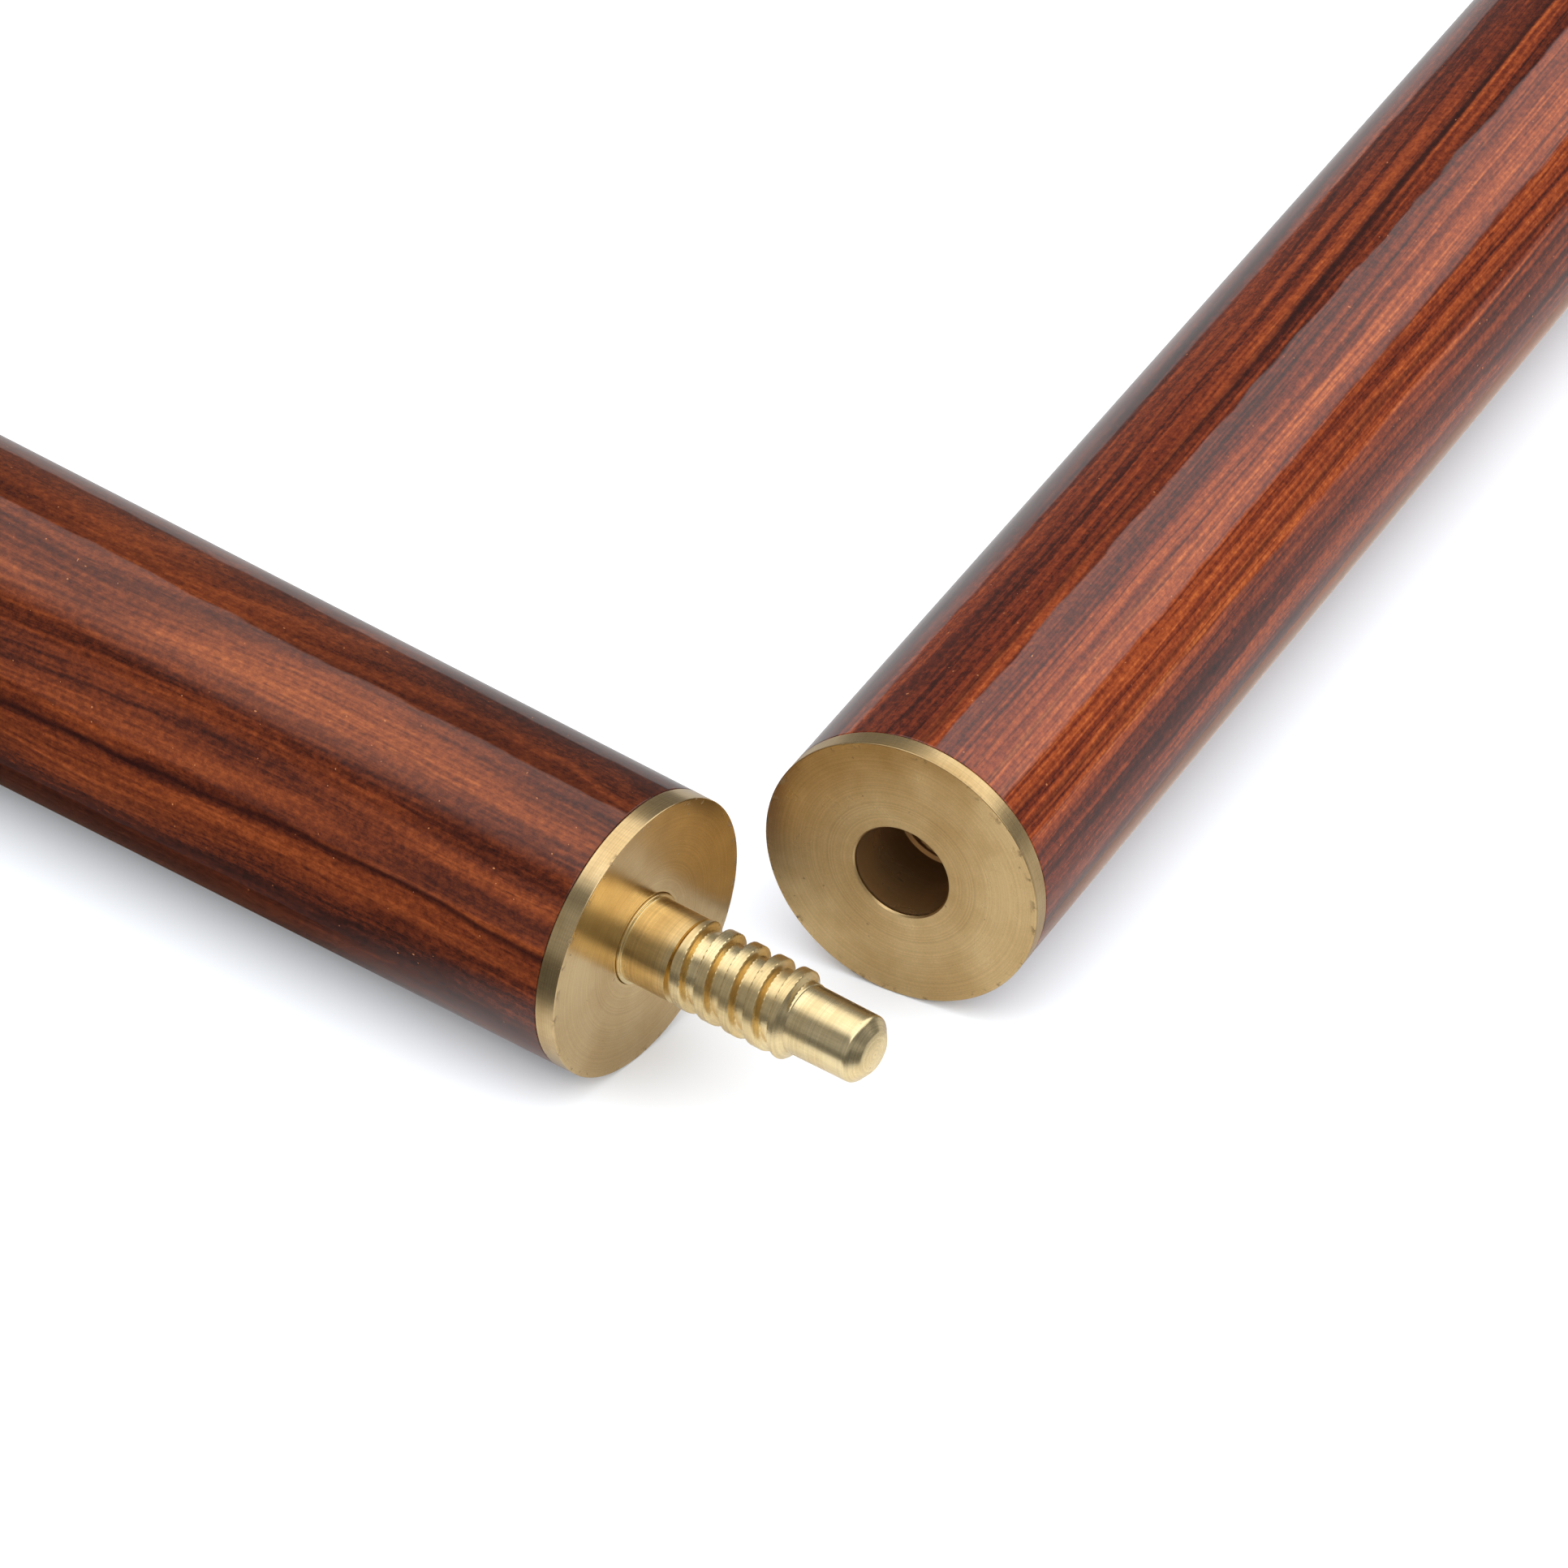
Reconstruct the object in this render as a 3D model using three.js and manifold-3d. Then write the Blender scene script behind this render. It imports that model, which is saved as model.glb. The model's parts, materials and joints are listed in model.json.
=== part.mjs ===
// A three-quarter-jointed snooker cue, unscrewed, with its two halves lying at an angle on a table.
//
// Each half is modelled in one common axis frame, in millimetres: +Y runs along the cue towards its
// tip, the joint face is at y = 0, and +Z is up. The two halves are then laid on the table (z = 0).

import * as THREE from "three";
import { mergeVertices } from "three/addons/utils/BufferGeometryUtils.js";
import Module from "manifold-3d";

const wasm = await Module();
wasm.setup();

// ---------------------------------------------------------------- driving dimensions

const JOINT_RADIUS = 12; // both brass joint faces
const TAPER = 0.0068; // loss of radius for each millimetre towards the tip
const SHAFT_LENGTH = 1067; // 42 in, joint face to tip
const BUTT_LENGTH = 406; // 16 in, joint face to the rubber bumper's end
const SEAM = 0.3; // clearance between neighbouring pieces

// How the halves lie: the axes cross at one point on the table.
const SOCKET_STANDOFF = 19.7; // crossing point to the socket's face
const PIN_STANDOFF = 13.6; // crossing point to the pin plate's face
const SWING = THREE.MathUtils.degToRad(99); // turn that brings the butt in line with the shaft

// Screwed joint
const PITCH = 2.38;
const CREST_WIDTH = 0.88;
const FLANK_WIDTH = 0.31;
const THREAD_ROOT_RADIUS = 3.0;
const THREAD_CREST_RADIUS = 3.7;
const THREAD_CLEARANCE = 0.2; // radial, between the pin's thread and the socket's
const THREAD_SIDE_CLEARANCE = 0.15; // added on each side of the socket's groove
const CREST_AT_TOP = 7.2; // a thread crest passes the pin's top this far ahead of its face
const CLOSED_GAP = 0.1; // left between the two faces when the cue is screwed up
const SCREW_TRAVEL = 8.1; // axial travel while the threads are engaged

// Pin (measured forwards from its plate's face)
const PIN_SHANK = 30; // buried in the butt
const PIN_SHANK_RADIUS = 3.9;
const PIN_LIP = 0.2; // the shank's shoulder stands just proud of the plate
const PIN_BASE_RADIUS = 3.6;
const PIN_BASE_END = 4.4;
const PIN_THREAD_END = 15.5;
const PIN_CHAMFER = 0.6;
const PILOT_RADIUS = 2.92;
const PILOT_END = 21.3;
const PIN_LENGTH = 22.3;
const PIN_TIP_RADIUS = 1.8;
const PIN_CROWN = 0.1; // rise of the tip's end face to its middle
const PIN_SHANK_CHAMFER = 0.5;
const PIN_NECK = 0.2; // length of the step from the base down to the thread's root
const THREAD_EASE = 0.3; // the thread's ends rise over this length, and are trimmed this far out

// Brass ends
const PLATE_THICKNESS = 1.8;
const PLATE_BOSS_RADIUS = 7;
const PLATE_BOSS_END = 14;
const SOCKET_RIM = 1.67;
const BARREL_RADIUS = 7;
const BARREL_LENGTH = 29;
const BORE_MOUTH_RADIUS = 4.23;
const COUNTERBORE_RADIUS = 4.13;
const COUNTERBORE_DEPTH = 7.5;
const THREAD_BORE_END = 17;
const PILOT_BORE_RADIUS = 3.3;
const BORE_DEPTH = 25;
const MOUTH_LAND = 0.1; // the bore's mouth keeps its width this deep
const MOUTH_CHAMFER = 0.2; // and then narrows to the counterbore over this depth
const SHOULDER_CHAMFER = 0.4;

// Splice of rosewood onto ash: a square ash wedge, point downwards, in a rosewood sleeve
const SPLICE_TIP = 320; // where the rosewood points end
const SPLICE_VALLEY = 120; // where the ash points end
const WEDGE_START = 36; // the wedge's blunt front end
const WEDGE_OVERRUN = 60; // the wedge's shape is drawn this far past the points' tips
const ROUND_START = 20; // past the points' tips the shaft is plain round wood from here
const ROUND_OVERLAP = 10;

// Tip end
const FERRULE_LENGTH = 8.4;
const TIP_LENGTH = 5.4;
const TENON_RADIUS = 3.5;
const TENON_LENGTH = 6;
const TIP_DOME = 2.2;
const TIP_STEPS = 5; // facets from the dome's edge to its crown

// Butt end
const BUMPER_LENGTH = 6;
const BUMPER_RADIUS = 10.5;
const BUMPER_CHAMFER = 1.6;
const END_PLATE_THICKNESS = 2;
const END_BOSS_RADIUS = 8;
const END_BOSS_LENGTH = 22;
const END_BORE_RADIUS = 4.3;
const END_BORE_DEPTH = 16;
const SCREW_RADIUS = 3.9;
const SCREW_HEAD_RADIUS = 5.6;
const SCREW_HEAD_HEIGHT = 2.6;
const SCREW_LENGTH = 14;
const SCREW_SLOT_WIDTH = 1.2;
const SCREW_SLOT_DEPTH = 1.1;
const SCREW_SINK = 0.7; // the head lies this far inside the rubber
const SCREW_HEAD_CHAMFER = 0.4;
const SCREW_POINT = 1; // length and depth of the chamfer at the screw's point
const HEAD_HOLE_EXTRA = 1; // room under the head
const WEIGHT_RADIUS = 6;
const WEIGHT_LENGTH = 24;
const WEIGHT_GAP = 1;
const WEIGHT_CHAMFER = 0.8;
const FIRST_WEIGHT = 256; // joint face to the front of the first weight
const WEIGHT_BORE_RADIUS = 6.5;

// Flat for the badge, and the badge
const FLAT_START = 300; // behind the joint face
const FLAT_DEPTH = 3.2; // below the round surface at the butt's end
const BADGE_LENGTH = 44;
const BADGE_WIDTH = 9;
const BADGE_THICKNESS = 1;
const BADGE_POSITION = 368; // behind the joint face

// Facets
const SIDES = 32;
const THREAD_SIDES = 24;
const OVAL_SEGMENTS = 28;
const MERGE_DISTANCE = 1e-4;

// Cutters
const OVERCUT = 1; // how far a cutter runs past the face that it opens
const POCKET_OVERCUT = 3; // the same above the badge's flat
const FLAT_CUTTER_REACH = 20; // to each side of the axis and above the flat
const FLAT_CUTTER_LENGTH = 140;

const radiusAt = (y) => JOINT_RADIUS - TAPER * y;

// ---------------------------------------------------------------- materials

const material = (color, roughness, metalness) =>
  new THREE.MeshStandardMaterial({ color, roughness, metalness });

const BRASS = material(0xb8975a, 0.32, 1);
const PIN_BRASS = material(0xd6b572, 0.2, 1);
const ROSEWOOD = material(0x7a3018, 0.12, 0);
const ASH = material(0xd9b98a, 0.3, 0);
const STEEL = material(0x8d9094, 0.45, 1);
const RUBBER = material(0x1d1c1b, 0.8, 0);
const LEATHER = material(0x7a5f48, 0.85, 0);

// ---------------------------------------------------------------- solids

// A closed three.js geometry as a manifold solid.
function solidFrom(geometry) {
  geometry.deleteAttribute("normal");
  geometry.deleteAttribute("uv");
  const merged = mergeVertices(geometry, MERGE_DISTANCE);
  const index = merged.index.array;
  const triangles = [];
  for (let i = 0; i < index.length; i += 3) {
    const [a, b, c] = [index[i], index[i + 1], index[i + 2]];
    if (a !== b && b !== c && c !== a) triangles.push(a, b, c);
  }
  return new wasm.Manifold(
    new wasm.Mesh({
      numProp: 3,
      vertProperties: new Float32Array(merged.attributes.position.array),
      triVerts: new Uint32Array(triangles),
    }),
  );
}

// Turned solid from [radius, y] points, each flat of its polygon touching the true circle.
function turned(profile, sides = SIDES) {
  const out = 1 / Math.cos(Math.PI / sides);
  const points = profile.map(([r, y]) => new THREE.Vector2(r * out, y));
  return solidFrom(new THREE.LatheGeometry(points, sides, Math.PI / sides));
}

// Plain round bar between two stations.
const bar = (radius, from, to, sides = SIDES) =>
  turned([[0, from], [radius, from], [radius, to], [0, to]], sides);

// Round bar that follows the cue's taper.
const taperedBar = (from, to) =>
  turned([[0, from], [radiusAt(from), from], [radiusAt(to), to], [0, to]]);

// Box given by its lowest and highest corners.
function block(low, high) {
  const size = high.map((v, i) => v - low[i]);
  const middle = high.map((v, i) => (v + low[i]) / 2);
  return solidFrom(new THREE.BoxGeometry(...size).translate(...middle));
}

// Square bar between two stations, with its half width given at each.
function squareBar(from, halfFrom, to, halfTo) {
  const corner = Math.SQRT2;
  const points = [[0, from], [halfFrom * corner, from], [halfTo * corner, to], [0, to]];
  const outline = points.map(([r, y]) => new THREE.Vector2(r, y));
  return solidFrom(new THREE.LatheGeometry(outline, 4, Math.PI / 4));
}

// Right-handed threaded bar. Its crest passes the top (+Z) at y = crestAtTop, plus whole pitches.
// The surface has four lines for each turn: both edges of the crest and both edges of the root.
function threadedBar({ root, crest, crestWidth, crestAtTop, turns }) {
  const lines = [
    [-crestWidth / 2, crest],
    [crestWidth / 2, crest],
    [crestWidth / 2 + FLANK_WIDTH, root],
    [PITCH - crestWidth / 2 - FLANK_WIDTH, root],
  ];
  const out = 1 / Math.cos(Math.PI / THREAD_SIDES);
  const rows = lines.length * turns;
  const positions = [];
  const triangles = [];
  const vertex = (row, side) => row * THREAD_SIDES + side;
  // going once round arrives one turn, so four lines, further on
  const at = (row, side) =>
    side < THREAD_SIDES ? vertex(row, side) : vertex(row + lines.length, side - THREAD_SIDES);

  for (let row = 0; row <= rows + lines.length; row++) {
    const [offset, radius] = lines[row % lines.length];
    const start = crestAtTop + PITCH * Math.floor(row / lines.length) + offset;
    for (let side = 0; side < THREAD_SIDES; side++) {
      const share = side / THREAD_SIDES;
      const angle = 2 * Math.PI * share;
      const r = radius * out;
      positions.push(r * Math.sin(angle), start + PITCH * share, r * Math.cos(angle));
    }
  }
  for (let row = 0; row < rows; row++)
    for (let side = 0; side < THREAD_SIDES; side++) {
      const [a, b] = [at(row, side), at(row, side + 1)];
      const [c, d] = [at(row + 1, side + 1), at(row + 1, side)];
      triangles.push(a, b, c, a, c, d);
    }

  // each end is closed by a fan from a point on the axis
  const cap = (row, isFront) => {
    const loop = [];
    for (let side = 0; side < THREAD_SIDES; side++) loop.push(at(row, side));
    for (let back = lines.length; back > 0; back--) loop.push(vertex(row + back, 0));
    const centre = positions.length / 3;
    const y = positions[3 * vertex(row, 0) + 1] + PITCH / 2;
    positions.push(0, y, 0);
    loop.forEach((v, i) => {
      const next = loop[(i + 1) % loop.length];
      triangles.push(centre, ...(isFront ? [v, next] : [next, v]));
    });
  };
  cap(0, false);
  cap(rows, true);

  const geometry = new THREE.BufferGeometry();
  geometry.setAttribute("position", new THREE.Float32BufferAttribute(positions, 3));
  geometry.setIndex(triangles);
  return solidFrom(geometry);
}

// A named mesh from a solid.
function piece(name, solid, look) {
  const mesh = solid.getMesh();
  const geometry = new THREE.BufferGeometry();
  geometry.setAttribute("position", new THREE.BufferAttribute(mesh.vertProperties, 3));
  geometry.setIndex(new THREE.BufferAttribute(mesh.triVerts, 1));
  geometry.computeVertexNormals();
  const result = new THREE.Mesh(geometry, look);
  result.name = name;
  return result;
}

// ---------------------------------------------------------------- joint

// Long helix trimmed to the stretch between two stations, within a turned envelope.
function threadBetween(from, to, envelope, clearance, sideClearance, crestAtTop) {
  const start = crestAtTop - PITCH * Math.ceil((crestAtTop - from) / PITCH + 2);
  const turns = Math.ceil((to - start) / PITCH + 1);
  return threadedBar({
    root: THREAD_ROOT_RADIUS + clearance,
    crest: THREAD_CREST_RADIUS + clearance,
    crestWidth: CREST_WIDTH + 2 * sideClearance,
    crestAtTop: start,
    turns,
  }).intersect(envelope);
}

function jointPin() {
  const core = turned(
    [
      [0, -PIN_SHANK],
      [PIN_SHANK_RADIUS - PIN_SHANK_CHAMFER, -PIN_SHANK],
      [PIN_SHANK_RADIUS, -PIN_SHANK + PIN_SHANK_CHAMFER],
      [PIN_SHANK_RADIUS, PIN_LIP],
      [PIN_BASE_RADIUS, PIN_LIP],
      [PIN_BASE_RADIUS, PIN_BASE_END],
      [PILOT_RADIUS, PIN_BASE_END + PIN_NECK],
      [PILOT_RADIUS, PILOT_END],
      [PIN_TIP_RADIUS, PIN_LENGTH - PIN_CROWN],
      [0, PIN_LENGTH],
    ],
    THREAD_SIDES,
  );
  const reach = THREAD_CREST_RADIUS + THREAD_EASE;
  const envelope = turned(
    [
      [0, PIN_BASE_END - THREAD_EASE],
      [PIN_BASE_RADIUS - PIN_CROWN, PIN_BASE_END - THREAD_EASE],
      [reach, PIN_BASE_END + THREAD_EASE],
      [reach, PIN_THREAD_END - PIN_CHAMFER - THREAD_EASE],
      [PILOT_RADIUS + PIN_CROWN, PIN_THREAD_END],
      [0, PIN_THREAD_END],
    ],
    THREAD_SIDES,
  );
  const thread = threadBetween(PIN_BASE_END, PIN_THREAD_END, envelope, 0, 0, CREST_AT_TOP);
  return piece("joint_pin", core.add(thread), PIN_BRASS);
}

function jointPlate() {
  const disc = taperedBar(-PLATE_THICKNESS, 0);
  const boss = bar(PLATE_BOSS_RADIUS, -PLATE_BOSS_END, -PLATE_THICKNESS / 2);
  const hole = bar(PIN_SHANK_RADIUS + SEAM, -PLATE_BOSS_END - OVERCUT, OVERCUT, THREAD_SIDES);
  return piece("joint_plate", disc.add(boss).subtract(hole), BRASS);
}

function jointSocket() {
  const body = turned([
    [0, 0],
    [radiusAt(0), 0],
    [radiusAt(SOCKET_RIM), SOCKET_RIM],
    [BARREL_RADIUS, SOCKET_RIM],
    [BARREL_RADIUS, BARREL_LENGTH],
    [0, BARREL_LENGTH],
  ]);
  const bore = turned(
    [
      [0, -OVERCUT],
      [BORE_MOUTH_RADIUS, -OVERCUT],
      [BORE_MOUTH_RADIUS, MOUTH_LAND],
      [COUNTERBORE_RADIUS, MOUTH_LAND + MOUTH_CHAMFER],
      [COUNTERBORE_RADIUS, COUNTERBORE_DEPTH],
      [PILOT_BORE_RADIUS, COUNTERBORE_DEPTH + SHOULDER_CHAMFER],
      [PILOT_BORE_RADIUS, BORE_DEPTH],
      [0, BORE_DEPTH],
    ],
    THREAD_SIDES,
  );
  const envelope = bar(
    COUNTERBORE_RADIUS,
    COUNTERBORE_DEPTH - MOUTH_CHAMFER,
    THREAD_BORE_END,
    THREAD_SIDES,
  );
  // the groove lies where the pin's crest comes to rest when the cue is screwed up
  const crestAtTop = CREST_AT_TOP - SCREW_TRAVEL - CLOSED_GAP;
  const thread = threadBetween(
    COUNTERBORE_DEPTH,
    THREAD_BORE_END,
    envelope,
    THREAD_CLEARANCE,
    THREAD_SIDE_CLEARANCE,
    crestAtTop,
  );
  return piece("joint_socket", body.subtract(bore).subtract(thread), BRASS);
}

// ---------------------------------------------------------------- shaft half

// Half width of the ash wedge: flush with the surface at the points' tips, and its corners flush
// with the surface at the valleys.
function wedgeHalfWidth(y) {
  const atTip = radiusAt(SPLICE_TIP);
  const atValley = radiusAt(SPLICE_VALLEY) / Math.SQRT2;
  return atValley + ((atTip - atValley) * (y - SPLICE_VALLEY)) / (SPLICE_TIP - SPLICE_VALLEY);
}

function wedge(from, extra) {
  const to = SPLICE_TIP + WEDGE_OVERRUN;
  return squareBar(from, wedgeHalfWidth(from) + extra, to, wedgeHalfWidth(to) + extra);
}

function splice() {
  const sleeve = taperedBar(SOCKET_RIM + SEAM, SPLICE_TIP);
  const barrelHole = bar(BARREL_RADIUS + SEAM, 0, BARREL_LENGTH + SEAM);
  const solid = sleeve.subtract(wedge(WEDGE_START - SEAM, SEAM)).subtract(barrelHole);
  return piece("splice", solid, ROSEWOOD);
}

function shaft() {
  const end = SHAFT_LENGTH - TIP_LENGTH - FERRULE_LENGTH - 2 * SEAM;
  const roundStart = SPLICE_TIP + ROUND_START;
  const blank = taperedBar(WEDGE_START, roundStart + ROUND_OVERLAP);
  const spliced = blank.intersect(wedge(WEDGE_START, 0));
  const round = taperedBar(roundStart, end);
  const tenon = bar(TENON_RADIUS, end - OVERCUT, end + TENON_LENGTH, THREAD_SIDES);
  return piece("shaft", spliced.add(round).add(tenon), ASH);
}

function ferrule() {
  const front = SHAFT_LENGTH - TIP_LENGTH - SEAM;
  const back = front - FERRULE_LENGTH;
  const holeEnd = back + TENON_LENGTH + 2 * SEAM;
  const hole = bar(TENON_RADIUS + SEAM, back - OVERCUT, holeEnd, THREAD_SIDES);
  return piece("ferrule", taperedBar(back, front).subtract(hole), BRASS);
}

function tip() {
  const back = SHAFT_LENGTH - TIP_LENGTH;
  const edge = SHAFT_LENGTH - TIP_DOME;
  const profile = [[0, back], [radiusAt(back), back], [radiusAt(edge), edge]];
  for (let i = 1; i <= TIP_STEPS; i++) {
    const angle = (Math.PI / 2) * (i / TIP_STEPS);
    profile.push([radiusAt(edge) * Math.cos(angle), edge + TIP_DOME * Math.sin(angle)]);
  }
  return piece("tip", turned(profile), LEATHER);
}

// ---------------------------------------------------------------- butt half

const END_PLATE_BACK = -(BUTT_LENGTH - BUMPER_LENGTH);
const WOOD_BACK = END_PLATE_BACK + END_PLATE_THICKNESS + SEAM;

const flatSlope = Math.atan(
  (FLAT_DEPTH - TAPER * (BUTT_LENGTH - FLAT_START)) / (BUTT_LENGTH - FLAT_START),
);

// Places a solid that was made on the plane z = 0 onto the badge's flat, at a station.
function onFlat(solid, station) {
  const height = radiusAt(-FLAT_START) - Math.tan(flatSlope) * (station - FLAT_START);
  const place = new THREE.Matrix4()
    .makeTranslation(0, -station, height)
    .multiply(new THREE.Matrix4().makeRotationX(flatSlope));
  return solid.transform(place.elements);
}

function flatCut() {
  const low = [-FLAT_CUTTER_REACH, -FLAT_CUTTER_LENGTH, 0];
  const high = [FLAT_CUTTER_REACH, 0, FLAT_CUTTER_REACH];
  return onFlat(block(low, high), FLAT_START);
}

// Oval plate lying on the plane z = 0, from one height to another.
function oval(extra, from, to) {
  const shape = new THREE.Shape();
  const [halfWidth, halfLength] = [BADGE_WIDTH / 2 + extra, BADGE_LENGTH / 2 + extra];
  shape.absellipse(0, 0, halfWidth, halfLength, 0, 2 * Math.PI, false, 0);
  const options = { depth: to - from, bevelEnabled: false, curveSegments: OVAL_SEGMENTS };
  return solidFrom(new THREE.ExtrudeGeometry(shape, options).translate(0, 0, from));
}

function butt() {
  const wood = taperedBar(WOOD_BACK, -PLATE_THICKNESS - SEAM);
  const bossHole = bar(PLATE_BOSS_RADIUS + SEAM, -PLATE_BOSS_END - SEAM, 0);
  const shankHole = bar(PIN_SHANK_RADIUS + SEAM, -PIN_SHANK - SEAM, 0, THREAD_SIDES);
  const back = WOOD_BACK - OVERCUT;
  const weightHole = bar(WEIGHT_BORE_RADIUS, back, -FIRST_WEIGHT + WEIGHT_GAP, THREAD_SIDES);
  const endHole = bar(END_BOSS_RADIUS + SEAM, back, END_PLATE_BACK + END_BOSS_LENGTH + SEAM);
  const pocket = onFlat(oval(SEAM, -BADGE_THICKNESS - SEAM, POCKET_OVERCUT), BADGE_POSITION);
  const solid = [bossHole, shankHole, weightHole, endHole, flatCut(), pocket].reduce(
    (rest, cut) => rest.subtract(cut),
    wood,
  );
  return piece("butt", solid, ROSEWOOD);
}

function badge() {
  const plate = onFlat(oval(0, -BADGE_THICKNESS, 0), BADGE_POSITION);
  return piece("badge_plate", plate, BRASS);
}

function endPlate() {
  const plate = taperedBar(END_PLATE_BACK, END_PLATE_BACK + END_PLATE_THICKNESS);
  const overlap = END_PLATE_THICKNESS / 2;
  const boss = bar(END_BOSS_RADIUS, END_PLATE_BACK + overlap, END_PLATE_BACK + END_BOSS_LENGTH);
  const holeEnd = END_PLATE_BACK + END_BORE_DEPTH;
  const hole = bar(END_BORE_RADIUS, END_PLATE_BACK - OVERCUT, holeEnd, THREAD_SIDES);
  return piece("end_plate", plate.subtract(flatCut()).add(boss).subtract(hole), BRASS);
}

function bumper() {
  const front = END_PLATE_BACK - SEAM;
  const back = -BUTT_LENGTH;
  const pad = turned([
    [0, back],
    [BUMPER_RADIUS - BUMPER_CHAMFER, back],
    [BUMPER_RADIUS, back + BUMPER_CHAMFER],
    [BUMPER_RADIUS, front],
    [0, front],
  ]);
  const start = back - OVERCUT;
  const headHoleEnd = back + SCREW_HEAD_HEIGHT + HEAD_HOLE_EXTRA;
  const screwHole = bar(SCREW_RADIUS + SEAM, start, front + OVERCUT, THREAD_SIDES);
  const headHole = bar(SCREW_HEAD_RADIUS + SEAM, start, headHoleEnd, THREAD_SIDES);
  return piece("bumper", pad.subtract(screwHole).subtract(headHole), RUBBER);
}

function bumperScrew() {
  const back = -BUTT_LENGTH + SCREW_SINK;
  const neck = back + SCREW_HEAD_HEIGHT;
  const screw = turned(
    [
      [0, back],
      [SCREW_HEAD_RADIUS - SCREW_HEAD_CHAMFER, back],
      [SCREW_HEAD_RADIUS, back + SCREW_HEAD_CHAMFER],
      [SCREW_HEAD_RADIUS, neck],
      [SCREW_RADIUS, neck],
      [SCREW_RADIUS, back + SCREW_LENGTH - SCREW_POINT],
      [SCREW_RADIUS - SCREW_POINT, back + SCREW_LENGTH],
      [0, back + SCREW_LENGTH],
    ],
    THREAD_SIDES,
  );
  const half = SCREW_SLOT_WIDTH / 2;
  const across = SCREW_HEAD_RADIUS + OVERCUT;
  const low = [-half, back - OVERCUT, -across];
  const slot = block(low, [half, back + SCREW_SLOT_DEPTH, across]);
  return piece("bumper_screw", screw.subtract(slot), BRASS);
}

// Steel weights lie one behind another in the bore; the number counts from the joint.
function weight(name, number) {
  const front = -FIRST_WEIGHT - (number - 1) * (WEIGHT_LENGTH + WEIGHT_GAP);
  const back = front - WEIGHT_LENGTH;
  const slug = turned(
    [
      [0, back],
      [WEIGHT_RADIUS - WEIGHT_CHAMFER, back],
      [WEIGHT_RADIUS, back + WEIGHT_CHAMFER],
      [WEIGHT_RADIUS, front - WEIGHT_CHAMFER],
      [WEIGHT_RADIUS - WEIGHT_CHAMFER, front],
      [0, front],
    ],
    THREAD_SIDES,
  );
  return piece(name, slug, STEEL);
}

// ---------------------------------------------------------------- the two halves on the table

// Lays a half on the table: its lower edge is level, its forward direction turned by the given
// angle from +Y, and its joint face stands off the axes' crossing point.
function laid(pieces, turn, standoff) {
  const tilted = new THREE.Group();
  tilted.add(...pieces);
  tilted.rotation.x = -Math.atan(TAPER);
  tilted.position.set(0, standoff, JOINT_RADIUS * Math.cos(Math.atan(TAPER)));
  const half = new THREE.Group();
  half.add(tilted);
  half.rotation.z = turn;
  return half;
}

const shaftHalf = laid([jointSocket(), splice(), shaft(), ferrule(), tip()], 0, SOCKET_STANDOFF);

const buttHalf = laid(
  [
    jointPlate(),
    jointPin(),
    butt(),
    weight("weight_front", 1),
    weight("weight_middle", 2),
    weight("weight_rear", 3),
    endPlate(),
    bumper(),
    bumperScrew(),
    badge(),
  ],
  -SWING,
  -PIN_STANDOFF,
);

const cue = new THREE.Group();
cue.add(shaftHalf, buttHalf);

// The origin is on the table, under the middle of the whole.
const extent = new THREE.Box3().setFromObject(cue, true);
const middle = extent.getCenter(new THREE.Vector3());
for (const half of [shaftHalf, buttHalf]) {
  half.position.x -= middle.x;
  half.position.y -= middle.y;
  half.position.z -= extent.min.z;
}

export default cue;
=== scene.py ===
"""A three-quarter-jointed snooker cue, unscrewed: its visible surfaces, its materials and its studio.

Each half is built in its own axis frame: +Y runs along the cue towards the tip, the joint face
is at y = 0, and +Z is up. The frame's matrix then lays the half where the CAD has it.
"""

import json
import math

import bpy
import numpy as np
from mathutils import Matrix, Vector


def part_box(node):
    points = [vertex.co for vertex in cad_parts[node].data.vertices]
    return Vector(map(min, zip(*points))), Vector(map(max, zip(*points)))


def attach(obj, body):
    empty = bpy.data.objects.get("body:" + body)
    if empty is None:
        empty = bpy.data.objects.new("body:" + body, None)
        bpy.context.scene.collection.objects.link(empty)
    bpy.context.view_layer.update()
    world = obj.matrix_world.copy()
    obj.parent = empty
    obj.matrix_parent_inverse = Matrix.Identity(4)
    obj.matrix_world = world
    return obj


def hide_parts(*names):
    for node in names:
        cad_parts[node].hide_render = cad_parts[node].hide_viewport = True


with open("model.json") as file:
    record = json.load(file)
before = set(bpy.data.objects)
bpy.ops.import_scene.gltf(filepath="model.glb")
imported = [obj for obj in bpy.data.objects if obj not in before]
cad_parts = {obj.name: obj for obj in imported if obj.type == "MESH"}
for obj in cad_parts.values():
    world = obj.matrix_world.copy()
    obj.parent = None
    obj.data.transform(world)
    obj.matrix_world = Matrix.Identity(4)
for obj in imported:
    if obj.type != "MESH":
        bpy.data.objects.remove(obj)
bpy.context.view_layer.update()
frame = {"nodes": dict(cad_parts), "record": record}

RECORD = frame["record"]
MM = 0.001

# ---------------------------------------------------------------- sizes, in millimetres

JOINT_RADIUS = 12.0
TAPER = 0.0068
SHAFT_LENGTH = 1067.0
BUTT_LENGTH = 406.0

PITCH = 2.38
CREST_WIDTH = 0.88
FLANK_WIDTH = 0.31
THREAD_ROOT_RADIUS = 3.0
THREAD_CREST_RADIUS = 3.7
THREAD_CLEARANCE = 0.2
THREAD_SIDE_CLEARANCE = 0.15
CREST_AT_TOP = 7.2
CLOSED_GAP = 0.1
SCREW_TRAVEL = 8.1

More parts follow.
